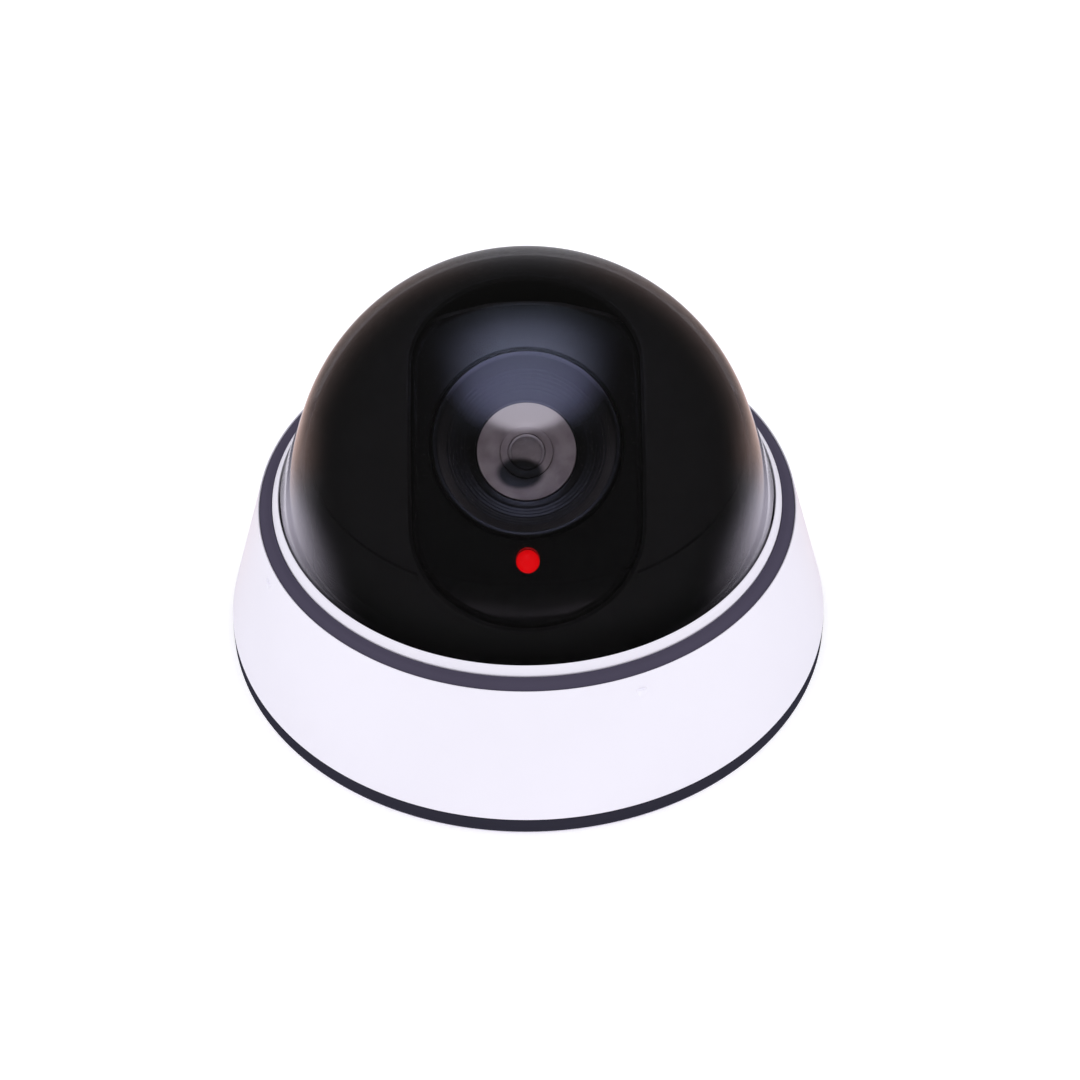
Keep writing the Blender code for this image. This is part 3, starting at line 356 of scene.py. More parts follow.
def circuit_board():
    look = Look("circuit_board", (0.01, 0.09, 0.035), 0.45, **{"Coat Weight": 0.4})
    tracks = look.node("ShaderNodeTexVoronoi", feature="DISTANCE_TO_EDGE", distance="MANHATTAN")
    tracks.inputs["Scale"].default_value = 480
    look.link(look.place, tracks.inputs["Vector"])
    line = look.ranged(tracks.outputs["Distance"], 1, 0, 0.05, 0.12)
    look.link(look.mixed(line, (0.008, 0.075, 0.03), (0.03, 0.17, 0.06)), look.shader.inputs["Base Color"])
    look.bump(line, 0.03 * MM)
    look.vary_roughness(200, 0.4, 0.5)
    return look


def screw_steel():
    look = Look("screw_steel", (0.55, 0.55, 0.56), 0.3, Metallic=1.0)
    look.vary_roughness(900, 0.22, 0.4, stretch=(1, 1, 10))
    look.vary_colour(500, 0.12)
    return look


MATT = {"Specular IOR Level": 0.0}
SOFT_BLACK = {"grain": 0.003 * MM, "Specular IOR Level": 0.12}
POLISHED_BLACK = {"grain": 0.0015 * MM, "Specular IOR Level": 1.0}
LOOKS = {
    "white_plastic": white_plastic(),
    "trim_plastic": moulded("trim_plastic", (0.074, 0.066, 0.099), 0.4, 0.5, **MATT),
    "smoked_acrylic": smoked_acrylic(),
    "black_plastic": moulded("black_plastic", (0.024, 0.025, 0.0245), 0.4, 0.5, **SOFT_BLACK),
    "silvered_metal": silvered_metal(),
    "lens_glass": lens_glass(),
    "red_lens": red_lens(),
    "circuit_board": circuit_board(),
    "chip_plastic": moulded("chip_plastic", (0.02, 0.02, 0.022), 0.5, 0.6, grain_scale=5000),
    "screw_steel": screw_steel(),
    "rubber": moulded("rubber", (0.03, 0.03, 0.032), 0.7, 0.82, grain_scale=1800, grain=0.01 * MM),
    "socket_plastic": moulded("socket_plastic", (0.75, 0.72, 0.62), 0.45, 0.55),
}
# A darker copy of the trim plastic for the lower band: painted shade.
SHADED_TRIM = moulded("trim_plastic_shaded", (0.030, 0.029, 0.042), 0.4, 0.5, **MATT)
SHELL_BLACK = moulded("black_plastic_smooth", BLACK, 0.19, 0.23, **POLISHED_BLACK)
REFLECTOR = reflector()
HOOD_BLACK = hood_plastic()
GOLD = Look("contact_gold", (0.85, 0.58, 0.22), 0.3, Metallic=1.0)
GOLD.vary_roughness(600, 0.24, 0.38)


# Building blocks


def on_circle(size, angle, centre=(0.0, 0.0)):
    """A point of a circle, its angle in degrees."""
    turn = math.radians(angle)
    return centre[0] + size * math.cos(turn), centre[1] + size * math.sin(turn)


def arc(size, start, end, steps, centre=(0.0, 0.0)):
    """Points of an arc, both ends included."""
    angles = [start + (end - start) * step / steps for step in range(steps + 1)]
    return [on_circle(size, angle, centre) for angle in angles]


def rounded(points, size, steps=4, closed=True):
    """The outline with its corners rounded. A third number on a point is its own radius."""
    flat = [Vector(point[:2]) for point in points]
    made = []
    for number, corner in enumerate(flat):
        own = points[number][2] if len(points[number]) > 2 else size
        if not closed and number in (0, len(flat) - 1):
            made.append(corner)
            continue
        before, after = flat[number - 1] - corner, flat[(number + 1) % len(flat)] - corner
        bend = math.pi - before.angle(after)
        if bend < math.radians(12) or own == 0:
            made.append(corner)
            continue
        reach = min(own * math.tan(bend / 2), 0.45 * before.length, 0.45 * after.length)
        first, last = corner + before.normalized() * reach, corner + after.normalized() * reach
        for step in range(steps + 1):
            share = step / steps
            made.append((1 - share) ** 2 * first + 2 * share * (1 - share) * corner + share**2 * last)
    return [(point[0], point[1]) for point in made]


def linked(name, data):
    """A new object in the scene."""
    obj = bpy.data.objects.new(name, data)
    bpy.context.scene.collection.objects.link(obj)
    return obj


def mesh_object(name, verts, faces):
    """A closed mesh with its faces pointing out, smooth but for its sharp edges."""
    mesh = bpy.data.meshes.new(name)
    mesh.from_pydata([Vector(vert) * MM for vert in verts], [], faces)
    return tidied(linked(name, mesh))


def tidied(obj):
    """Merges doubled points, and shades smooth between faces that meet at less than SHARP."""
    bm = bmesh.new()
    bm.from_mesh(obj.data)
    bmesh.ops.remove_doubles(bm, verts=bm.verts, dist=1e-7)
    bmesh.ops.recalc_face_normals(bm, faces=bm.faces)
    bm.to_mesh(obj.data)
    bm.free()
    obj.data.shade_smooth()
    obj.data.set_sharp_from_angle(angle=SHARP)
    return obj


def lathe(name, profile, sides=ROUND, closed=True):
    """Turns (radius, height) points about Z. An open profile starts and ends on the axis."""
    verts, rows = [], []
    for reach, height in profile:
        if reach < 1e-6:
            rows.append([len(verts)] * sides)
            verts.append((0, 0, height))
            continue
        rows.append([len(verts) + side for side in range(sides)])
        turns = [math.tau * side / sides for side in range(sides)]
        verts += [(reach * math.cos(turn), reach * math.sin(turn), height) for turn in turns]
    faces = []
    for low, high in zip(rows, rows[1:] + (rows[:1] if closed else [])):
        for side in range(sides):
            after = (side + 1) % sides
            face = list(dict.fromkeys((low[side], low[after], high[after], high[side])))
            if len(face) > 2:
                faces.append(face)
    return mesh_object(name, verts, faces)


def disc(name, size, low, high, sides=SMALL, soft=0.0):
    profile = [(0, low), (size, low), (size, high), (0, high)]
    return lathe(name, rounded(profile, soft, closed=False) if soft else profile, sides, closed=False)


def ring(name, inner, outer, low, high, sides=SMALL, soft=0.15):
    return lathe(name, rounded([(inner, low), (outer, low), (outer, high), (inner, high)], soft), sides)


def prism(name, outline, low, high):
    """Extrudes an (x, y) outline along Z."""
    count = len(outline)
    verts = [(x, y, z) for z in (low, high) for x, y in outline]
    sides = [(k, (k + 1) % count, (k + 1) % count + count, k + count) for k in range(count)]
    return mesh_object(name, verts, [list(range(count)), list(range(count, 2 * count)), *sides])


def bar(name, low, high):
    """A box between two corners."""
    (x0, y0, z0), (x1, y1, z1) = low, high
    return prism(name, [(x0, y0), (x1, y0), (x1, y1), (x0, y1)], z0, z1)


def moved(obj, matrix):
    obj.data.transform(matrix)
    return obj


def shifted(obj, x, y=0.0):
    return moved(obj, Matrix.Translation(Vector((x, y, 0)) * MM))


def joined(name, objs):
    """One object from several that don't overlap."""
    bm = bmesh.new()
    for obj in objs:
        bm.from_mesh(obj.data)
        bpy.data.objects.remove(obj)
    mesh = bpy.data.meshes.new(name)
    bm.to_mesh(mesh)
    bm.free()
    return tidied(linked(name, mesh))


def baked(obj):
    """Applies the object's modifiers."""
    graph = bpy.context.evaluated_depsgraph_get()
    graph.update()
    mesh = bpy.data.meshes.new_from_object(obj.evaluated_get(graph))
    obj.modifiers.clear()
    obj.data = mesh
    return tidied(obj)


def bevelled(obj, width, segments, angle):
    """Adds a bevel to the edges that are sharper than the angle, in degrees."""
    bevel = obj.modifiers.new("soft_edges", "BEVEL")
    bevel.width = width * MM
    bevel.segments = segments
    bevel.limit_method = "ANGLE"
    bevel.angle_limit = math.radians(angle)
    return obj


def softened(obj, width, angle=40):
    return baked(bevelled(obj, width, 3, angle))


def cut(obj, *tools):
    """Takes the tools' shapes out of the object. The tools are used up."""
    tool = joined("helper", tools) if len(tools) > 1 else tools[0]
    boolean = obj.modifiers.new("helper", "BOOLEAN")
    boolean.operation = "DIFFERENCE"
    boolean.object = tool
    boolean.solver = "EXACT"
    baked(obj)
    bpy.data.objects.remove(tool)
    return obj


def drilled(obj, size, spots, low, high, chamfer=0.25):
    """Round holes along Z with a chamfer at the top of each. A spot is (x, y)."""
    above = 0.6
    reach = size + chamfer + above
    profile = [(0, low), (size, low), (size, high - chamfer), (reach, high + above), (0, high + above)]
    return cut(obj, *[shifted(lathe("drill", profile, SMALL, closed=False), *spot) for spot in spots])


def piece(obj, node=None, body=None, slot=None, look=None):
    """Gives a piece its material and body. It stands for the node, or is an extra piece without one."""
    slot = slot or SLOT_OF[node]
    obj.data.materials.clear()
    obj.data.materials.append((look or LOOKS[slot]).material)
    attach(obj, body or BODY_OF[node])
    if node:
        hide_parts(node)


def spots_of(prefix):
    """(x, y) in millimetres of the middle of each node whose name starts so."""
    boxes = [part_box(node) for node in sorted(NODES) if node.startswith(prefix)]
    return [((low.x + high.x) / 2 / MM, (low.y + high.y) / 2 / MM) for low, high in boxes]


# Cover: housing, trims, dome, gasket and retainer

LIP = 49.87
SHOULDER = 52.22
LIP_Z = HOUSING_TOP - 1.85
SHOULDER_Z = LIP_Z - 1.25
GROOVE_Z = 4.4
SEAT_Z = HOUSING_TOP - 5.9
HOUSING_WALL = 2.0


def housing_radius(z):
    return FOOT + (z - GROOVE_Z) / (SHOULDER_Z - GROOVE_Z) * (SHOULDER + 0.3 - FOOT)


def make_housing():
    foot = FOOT - 1.8
    foot_inner = foot - 1.6
    groove, lip = SHOULDER + 0.15, LIP - 0.15
    groove_floor = SHOULDER_Z - 1.4
    opening = DOME_BASE + 0.3
    low, waist = bottom("housing"), 8.0
    profile = [
        (foot, low, 0.2), (foot, GROOVE_Z, 0.1), (FOOT, GROOVE_Z, 0.35),
        (SHOULDER + 0.4, SHOULDER_Z + 0.1, 0.5), (groove, SHOULDER_Z - 0.1, 0.15),
        (groove, groove_floor, 0.1), (lip, groove_floor + 1.2, 0.1), (lip, LIP_Z, 0.1),
        (opening + 0.05, HOUSING_TOP, 0.55), (opening, SEAT_Z, 0.2),
        (housing_radius(SEAT_Z) - HOUSING_WALL, SEAT_Z, 0.4),
        (housing_radius(waist) - HOUSING_WALL, waist, 1.0), (foot_inner, GROOVE_Z, 0.5),
        (foot_inner, low, 0.2),
    ]
    piece(lathe("housing_shell", rounded(profile, 0.2)), "housing")
    pillars = []
    for spot in spots_of("retainer_screw"):
        pillar = ring("pillar", PILOT, 1.7, top("dome_retainer") - 6.2, SEAT_Z - 0.1, soft=0.12)
        pillars.append(shifted(pillar, *spot))
    piece(joined("housing_bosses", pillars), body="cover", slot="white_plastic")


def make_trims():
    inner = FOOT - 1.5
    low, high = 1.05, GROOVE_Z - 0.06
    profile = [(inner, low), (FOOT - 0.05, low, 0.3), (FOOT - 0.05, high, 0.45), (inner, high)]
    piece(lathe("lower_trim_band", rounded(profile, 0.15)), "lower_trim", look=SHADED_TRIM)
    outer, edge = SHOULDER + 0.08, LIP - 0.08
    crown = ((LIP + SHOULDER) / 2, (LIP_Z + SHOULDER_Z) / 2 + 0.32)
    profile = [
        (outer, SHOULDER_Z - 0.12, 0.3), (*crown, 2.0), (edge, LIP_Z - 0.12, 0.3), (edge, LIP_Z - 1.0),
        (outer, SHOULDER_Z - 1.1),
    ]
    piece(lathe("upper_trim_ring", rounded(profile, 0.12, steps=6)), "upper_trim")


def make_dome():
    centre = (0, CZ)
    inner = DOME_BASE - DOME_WALL
    flange, flange_top = bottom("smoked_dome"), top("dome_gasket") - 0.7
    rim = DOME_BASE + 2.2
    outside = arc(DOME, 90, SKIRT_ANGLE, 72, centre)
    outside += [(DOME_BASE, HOUSING_TOP), (DOME_BASE, flange_top), (rim, flange_top)]
    inside = [(rim, flange), (inner, flange), (inner, HOUSING_TOP)]
    inside += arc(DOME - DOME_WALL, SKIRT_ANGLE, 90, 72, centre)
    piece(lathe("dome_shell", outside + inside, closed=False), "smoked_dome")
    low, high = bottom("dome_gasket"), top("dome_gasket")
    piece(ring("gasket_ring", DOME_BASE + 0.3, rim, low, high, ROUND), "dome_gasket")


def make_retainer():
    low, high = bottom("dome_retainer"), top("dome_retainer")
    inner, outer = DOME_BASE - 1.0, DOME_BASE + 1.6
    rim, ledge = radius("dome_retainer"), low + 1.5
    profile = [(inner, low), (rim, low), (rim, ledge), (outer, ledge), (outer, high), (inner, high)]
    retainer = lathe("retainer_ring", rounded(profile, 0.25), FINE)
    piece(drilled(retainer, PILOT, spots_of("retainer_screw"), low - 1, ledge), "dome_retainer")


# Base: plate, bearing, boards and grommet

PLATE = 2.8  # thickness of the base plate
MOUNT_HOLES = [on_circle(46.0, angle) for angle in (30, 150, 270)]


def make_base_plate():
    rim, step, flange = FOOT - 0.6, FOOT - 3.7, 0.95
    profile = [
        (0, 0), (rim, 0, 0.25), (rim, flange, 0.25), (step, flange, 0.1), (step, PLATE, 0.2), (0, PLATE),
    ]
    plate = lathe("base_plate_disc", rounded(profile, 0.2, closed=False), closed=False)
    sink = [(0, -0.1), (3.1, -0.1), (2.2, 0.8), (0, 0.8)]
    tools = [shifted(disc("hole", 2.3, -1, PLATE + 1), *spot) for spot in MOUNT_HOLES]
    tools += [shifted(lathe("sink", sink, closed=False), *spot) for spot in MOUNT_HOLES]
    tools.append(shifted(disc("inlet", 6.5, -1, PLATE + 1, FINE), *spots_of("cable_grommet")[0]))
    for tool in tools:
        cut(plate, tool)
    piece(plate, "base_plate")


def make_posts():
    """The posts under both boards, and the one that stops the pan."""
    posts = []
    for spot in spots_of("board_screw") + spots_of("service_screw"):
        posts.append(shifted(ring("post", PILOT, 1.9, PLATE, PLATE + 1.0, soft=0.1), *spot))
    posts.append(shifted(disc("stop", 1.4, PLATE, bottom("turntable") + 3.2, soft=0.3), 0, 35.7))
    piece(joined("base_posts", posts), body="base", slot="white_plastic")


def make_fingers():
    """Four fingers with barbs that hold the cover."""
    out, tip = FOOT - 4.3, PLATE + 8.0
    back, front = out - 1.2, out - 0.3
    barb = [(back, PLATE), (front, PLATE), (front, tip - 2), (out, tip - 1.4), (front, tip), (back, tip)]
    fingers = []
    for angle in (45, 135, 225, 315):
        finger = softened(prism("finger", barb, -4.0, 4.0), 0.15)
        stand = Matrix.Rotation(math.radians(angle), 4, "Z") @ Matrix.Rotation(math.pi / 2, 4, "X")
        fingers.append(moved(finger, stand))
    piece(joined("snap_fingers", fingers), body="base", slot="white_plastic")


def make_bearing():
    low, high = bottom("pan_bearing_ring"), top("pan_bearing_ring")
    inner, outer, throat, ledge = 24, 28, 23, high - 2.8
    profile = [(inner, low), (outer, low), (outer, high), (throat, high), (throat, ledge), (inner, ledge)]
    body = lathe("bearing_wall", rounded(profile, 0.25), ROUND)
    screws, ear_top = spots_of("bearing_screw"), low + 1.9
    cut(body, *[shifted(disc("head", 2.0, ear_top, high + 1), *spot) for spot in screws])
    piece(body, "pan_bearing_ring")
    ears = [shifted(ring("ear", PILOT, 2.8, low + 0.1, ear_top, soft=0.2), *spot) for spot in screws]
    piece(joined("bearing_ears", ears), body="base", slot="black_plastic")


def spread(count, start, end):
    """Evenly spaced numbers, both ends included."""
    return [start + number * (end - start) / (count - 1) for number in range(count)]


def make_boards():
    low, high = bottom("main_board"), top("main_board")
    board = disc("main_board_disc", 20.0, low, high, ROUND, soft=0.12)
    piece(drilled(board, PILOT, spots_of("board_screw"), low - 1, high, 0.05), "main_board")
    blocks = {"service_board": 0.1, "processor": 0.15, "harness_socket": 0.2, "card_socket": 0.2}
    for node, soft in blocks.items():
        piece(softened(bar(f"{node}_block", *corners(node)), soft), node)
    can = disc("capacitor_can", 2.4, bottom("capacitor"), top("capacitor"), SMALL, soft=0.4)
    piece(shifted(can, *spots_of("capacitor")[0]), "capacitor")


def make_pins():
    low, high = corners("processor")
    half = Vector((0.16, 0.5, 0))
    down, up = Vector((0, 0, -0.2)), Vector((0, 0, 0.15))
    pins = []
    for x in spread(9, low.x + 0.9, high.x - 0.9):
        for y in (low.y - 0.5, high.y + 0.5):
            spot = Vector((x, y, low.z))
            pins.append(bar("pin", spot - half + down, spot + half + up))
    piece(joined("processor_pins", pins), body="base", slot="silvered_metal")
    low, high = corners("harness_socket")
    half = Vector((0.25, 0.25, 0))
    down, up = Vector((0, 0, -0.02)), Vector((0, 0, 0.5))
    contacts = []
    for x in spread(6, low.x + 1.2, high.x - 1.2):
        spot = Vector((x, (low.y + high.y) / 2, high.z))
        contacts.append(bar("contact", spot - half + down, spot + half + up))
    piece(joined("harness_contacts", contacts), body="base", slot="silvered_metal", look=GOLD)


def make_components():
    """Small parts on the main board, in two rings."""
    floor = top("main_board")
    parts = []
    for angle in (20, 50, 75, 130, 165, 190, 235, 262, 305, 340):
        x, y = on_circle(14.2 if angle % 2 else 12.8, angle)
        parts.append(bar("part", (x - 0.8, y - 0.4, floor), (x + 0.8, y + 0.4, floor + 0.5)))
    piece(softened(joined("small_components", parts), 0.08), body="base", slot="socket_plastic")


def make_button():
    low, high = bottom("reset_button"), top("reset_button")
    spot = spots_of("reset_button")[0]
    piece(shifted(disc("reset_button_cap", 1.6, low, high, soft=0.35), *spot), "reset_button")
    case = softened(bar("reset_switch_case", *corners("reset_switch")), 0.2)
    bore = disc("bore", 1.9, bottom("reset_switch") + 1.4, high + 1)
    piece(cut(case, shifted(bore, *spot)), "reset_switch")


def make_grommet():
    bore, neck, lip = 3.2, 6.2, 7.8
    profile = [
        (bore, 0.3, 0.4), (neck, 0.3, 0.2), (neck, 3.1, 0.1), (lip, 3.1, 0.3), (lip, 4.1, 0.4),
        (4.8, 4.7, 0.6), (4.2, 6.3, 0.4), (bore, 6.3, 0.4),
    ]
    grommet = lathe("cable_grommet_body", rounded(profile, 0.2), FINE)
    piece(shifted(grommet, *spots_of("cable_grommet")[0]), "cable_grommet")


# Pan: turntable, yoke and liner


def make_turntable():
    low, high = 9.6, 11.6
    hole, skirt, inner, barb = 5, 22.7, 21.5, 23.7
    profile = [
        (hole, low), (inner, low), (inner, low - 4.3), (skirt, low - 4.3), (barb, low - 3.5),
        (barb, low - 3.1), (skirt, low - 3.1), (skirt, low), (LINER, low), (LINER, high), (hole, high),
    ]
    table = lathe("turntable_disc", rounded(profile, 0.2))
    spots = spots_of("liner_screw") + spots_of("yoke_screw")
    piece(drilled(table, PILOT, spots, low - 1, high), "turntable")
    tab = bar("pan_stop_tab", (-1.3, -36.9, low - 1.3), (1.3, -34.5, low))
    piece(softened(tab, 0.2), body="pan", slot="black_plastic")


def make_yoke():
    low, high = 11.9, 13.9
    half_width, floor_depth, thick, foot = 29.4, 6.5, 3.0, 12.1
    reach = half_width - thick
    floor = softened(bar("yoke_floor", (-reach, -floor_depth, low), (reach, floor_depth, high)), 0.35)
    floor = drilled(floor, PILOT, spots_of("yoke_screw"), low - 1, high)
    cut(floor, disc("wire_hole", 5.0, low - 1, high + 1, FINE))
    outline = [(-7, foot), (7, foot), *arc(7, 0, 180, 48, (0, CZ))]
    # The outline's (y, z) plane stands upright across X.
    stand = Matrix(((0, 0, 1, 0), (1, 0, 0, 0), (0, 1, 0, 0), (0, 0, 0, 1)))
    arms = []
    for x0, x1 in ((-half_width, -reach), (reach, half_width)):
        arm = moved(softened(prism("arm", outline, x0, x1), 0.35), stand)
        bore = moved(disc("bore", PIVOT, -4, 4), ACROSS[1])
        arms.append(cut(arm, shifted(bore, (x0 + x1) / 2)))
    piece(joined("tilt_yoke_frame", [floor, *arms]), "tilt_yoke")


def slot_points(count):
    """Points evenly along the slot's edge on the liner, as unit directions from the dome's centre."""
    straight = LINER * math.sin((SLOT_HIGH - SLOT_LOW) / 2) - SLOT_END
    upper, lower = arc(1, 0, 180, 60), arc(1, 180, 360, 60)
    outline = [Vector((x * SLOT_HALF_WIDTH, straight + y * SLOT_END)) for x, y in upper]
    outline += [Vector((x * SLOT_HALF_WIDTH, -straight + y * SLOT_END)) for x, y in lower]
    outline.append(outline[0])
    lengths = [0.0]
    for first, second in zip(outline, outline[1:]):
        lengths.append(lengths[-1] + (second - first).length)
    aim = Matrix.Rotation(math.pi / 2 - (SLOT_LOW + SLOT_HIGH) / 2, 3, "X")
    points, span = [], 0
    for number in range(count):
        along = lengths[-1] * number / count
        while lengths[span + 1] < along:
            span += 1
        share = (along - lengths[span]) / (lengths[span + 1] - lengths[span])
        x, y = outline[span].lerp(outline[span + 1], share)
        points.append((aim @ Vector((x, y, math.sqrt(LINER**2 - x * x - y * y)))).normalized())
    return points


def liner_column(edge):
    """The liner's cross-section, as (reach, height), from its foot up to the slot's edge and back inside."""
    inner, soft = LINER - LINER_WALL, 0.35
    stop = math.degrees(edge)
    trimmed = stop - math.degrees(soft / LINER)
    seam, half, depth = math.degrees(math.asin(SEAM_HEIGHT / LINER)), 0.42, 0.8
    if trimmed < seam + 2 * half:  # the slot cuts the seam off, so the column only keeps its points
        seam, half, depth = 0.85 * trimmed, 0.05 * trimmed, 0.0
    polar = [(LINER, (seam - half) * step / 8) for step in range(9)]
    polar += [(LINER - depth, seam - half / 3), (LINER - depth, seam + half / 3)]
    start = seam + half
    polar += [(LINER, start + (trimmed - start) * step / 56) for step in range(57)]
    polar += [(LINER - 0.1, stop - 0.1), (LINER - soft, stop)]
    polar += [(inner + soft, stop), (inner + 0.1, stop - 0.1)]
    polar += [(inner, trimmed * step / 40) for step in range(40, -1, -1)]
    foot, edge_radius = LINER_FOOT, 0.15
    points = [
        (inner, foot + edge_radius), (inner + edge_radius, foot), (LINER - edge_radius, foot),
        (LINER, foot + edge_radius),
    ]
    return points + [on_circle(reach, angle, (0, CZ)) for reach, angle in polar]


def make_liner():
    directions = slot_points(480)
    verts, faces = [], []
    for direction in directions:
        flat = Vector((direction.x, direction.y)).normalized()
        column = liner_column(math.asin(direction.z))
        verts += [(flat.x * reach, flat.y * reach, height) for reach, height in column]
    rows, count = len(column), len(directions)
    for number in range(count):
        here, there = number * rows, (number + 1) % count * rows
        for row in range(rows):
            after = (row + 1) % rows
            faces.append((here + row, there + row, there + after, here + after))
    liner = mesh_object("dome_liner_shell", verts, faces)
    piece(liner, "dome_liner")
    foot, bosses = LINER_FOOT + 0.1, []
    for spot in spots_of("liner_screw"):
        bosses.append(shifted(ring("boss", PILOT, 2.4, foot, foot + 4.4, soft=0.2), *spot))
    piece(joined("liner_bosses", bosses), body="pan", slot="black_plastic")


# Tilt: eyeball, lamp and pivots


def eyeball_shell():
    """A band of the ball between two flat sides, swept about the tilt axis."""
    side, back = EYEBALL_HALF_WIDTH, 14  # the sides reach in to this distance from the axis
    inner_side, inner = side - EYEBALL_WALL, EYEBALL - EYEBALL_WALL
    lean = math.degrees(math.asin(side / EYEBALL))
    inner_lean = math.degrees(math.asin(inner_side / inner))
    outside = arc(EYEBALL, 90 + lean, 90 - lean, 72)
    inside = arc(inner, 90 - inner_lean, 90 + inner_lean, 72)
    profile = [*outside, (side, back), (inner_side, back), *inside, (-inner_side, back), (-side, back)]
    profile = rounded(profile, 0.4)
    count, steps = len(profile), 120
    verts, faces = [], []
    for step in range(steps + 1):
        angle = math.radians(EYEBALL_LOW + (EYEBALL_HIGH - EYEBALL_LOW) * step / steps)
        verts += [(across, -reach * math.cos(angle), reach * math.sin(angle)) for across, reach in profile]
    for step in range(steps):
        for row in range(count):
            here, after = step * count + row, step * count + (row + 1) % count
            faces.append((here, after, after + count, here + count))
    faces += [list(range(count)), list(range(steps * count, (steps + 1) * count))]
    return softened(mesh_object("eyeball_shell", verts, faces), 0.3, angle=70)


def make_eyeball():
    shell = eyeball_shell()
    deep, clear = 20, 45  # ends of the cutters, inside the shell and outside the ball
    gap, flare = HOOD + 0.55, HOOD + 1.95
    edge = math.sqrt(EYEBALL**2 - gap**2) - 0.45
    bore = [(0, deep), (gap, deep), (gap, edge), (flare, edge + 1.4), (flare, clear), (0, clear)]
    cut(shell, moved(lathe("bore", bore, closed=False), LENS_TURN))
    hole = disc("hole", LED + 0.07, deep, clear, FINE)
    cut(shell, moved(shifted(hole, 0, -LED_OFFSET), LENS_TURN))
    reach, half = math.sqrt(EYEBALL**2 - SEAM_HEIGHT**2), 0.16
    low, high = SEAM_HEIGHT - half, SEAM_HEIGHT + half
    cut(shell, ring("seam", reach - 0.35, reach + 2, low, high, ROUND, soft=0))
    piece(moved(shell, TILT_FRAME), "eyeball_front", look=SHELL_BLACK)


def make_collar():
    """The tube in the eyeball that the hood turns in, and the flat plates round the pivots."""
    ledge = HOOD_BACK - 0.5
    high = math.sqrt(EYEBALL**2 - (HOOD + 0.55) ** 2) - 1.4
    throat, inner, outer = TAIL + 0.5, HOOD + 0.5, HOOD + 1.5
    collar = [
        (throat, ledge - 1.2), (outer, ledge - 1.2), (outer, high), (inner, high), (inner, ledge),
        (throat, ledge),
    ]
    collar = lathe("lens_collar", rounded(collar, 0.15))
    piece(moved(collar, LENS_FRAME), body="tilt", slot="black_plastic")
    face, plates = EYEBALL_HALF_WIDTH, []
    for frame_across in ACROSS.values():
        plate = ring("plate", PIVOT, 20.0, face, face + 0.3, ROUND, soft=0.1)
        plates.append(moved(plate, frame_across))
    piece(joined("pivot_plates", plates), body="tilt", slot="black_plastic")


def make_lamp():
    tip, foot, stem = math.sqrt(EYEBALL**2 - LED_OFFSET**2) + 0.7, 28.4, LED - 0.1
    cap = arc(LED, 0, 90, 16, (0, tip - LED))
    profile = [(0, foot), (stem, foot), (stem, foot + 1.0), (LED, foot + 1.2), *cap]
    lamp = shifted(lathe("status_lamp", profile, FINE, closed=False), 0, -LED_OFFSET)
    piece(moved(lamp, LENS_FRAME), "status_led")


def make_washers():
    for name, side in {"left": -1, "right": 1}.items():
        washer = ring(f"washer_{name}", PIVOT, 6.0, 24.6, 26.1, FINE, soft=0.2)
        piece(moved(washer, ACROSS[side]), f"friction_washer_{name}")


# Camera module


def hood_cone():
    """The hood's inner side, from its mouth down to the reflector, with fine grooves in the lower part."""
    mouth, floor = Vector((HOOD - 0.8, HOOD_MOUTH)), Vector((10.2, HOOD_FLOOR + 0.3))
    slope = floor - mouth
    along = slope.normalized()
    into = Vector((-along.y, along.x))

    def wall(share):
        return mouth + slope * share + into * (0.35 * math.sin(math.pi * share))

    plain = [wall(step / 12) for step in range(13)]
    grooves = []
    for number in range(6):
        base = wall(0.35 + 0.1 * number)
        for shift, depth in ((-0.24, 0.0), (-0.08, 0.16), (0.08, 0.16), (0.24, 0.0)):
            grooves.append(base + along * shift + into * depth)
    return [(point.x, point.y) for point in [*plain[:4], *grooves, *plain[-2:]]]


def make_hood():
    throat = 9.4
    profile = [
        (throat, HOOD_FLOOR), (throat, HOOD_TAIL), (TAIL, HOOD_TAIL), (TAIL, HOOD_BACK), (HOOD, HOOD_BACK),
        (HOOD, HOOD_MOUTH + 0.12, 0.3),
    ]
    cone = hood_cone()
    lip = [(*cone[0], 0.3), *[(*point, 0) for point in cone[1:]]]
    cone = lathe("lens_hood_cone", rounded([*profile, *lip], 0.15), 2 * ROUND)
    piece(moved(cone, LENS_FRAME), "lens_hood", look=HOOD_BLACK)


def make_reflector():
    high = HOOD_FLOOR - 0.3
    low, back = high - BEZEL_DISH, high - 2.1
    dish = []
    for step in range(1, 12):
        share = step / 12
        dish.append((BEZEL - 4.2 * share, high - BEZEL_DISH * math.sin(math.pi / 2 * share), 0))
    profile = [(BEZEL, back), (BEZEL, high, 0.15), *dish, (BEZEL_HOLE, low, 0.08), (BEZEL_HOLE, back)]
    bezel = lathe("lens_bezel_dish", rounded(profile, 0.12))
    piece(moved(bezel, LENS_FRAME), "lens_bezel", look=REFLECTOR)


def make_module():
    bore, body, low, step, high = 6.3, 8.1, 16.64, 21.24, 22.64
    profile = [(bore, low), (body, low), (body, step), (TAIL, step), (TAIL, high), (bore, high)]
    mount = lathe("lens_mount_body", rounded(profile, 0.2), FINE)
    piece(moved(mount, LENS_FRAME), "lens_mount")
    board = disc("sensor_board_disc", 11.0, 15.14, 16.34, FINE, soft=0.1)
    piece(moved(board, LENS_FRAME), "sensor_board")
    clip = ring("roll_clip_ring", 11.8, 14.1, 24.74, 25.74, FINE, soft=0.15)
    piece(moved(clip, LENS_FRAME), "roll_clip")


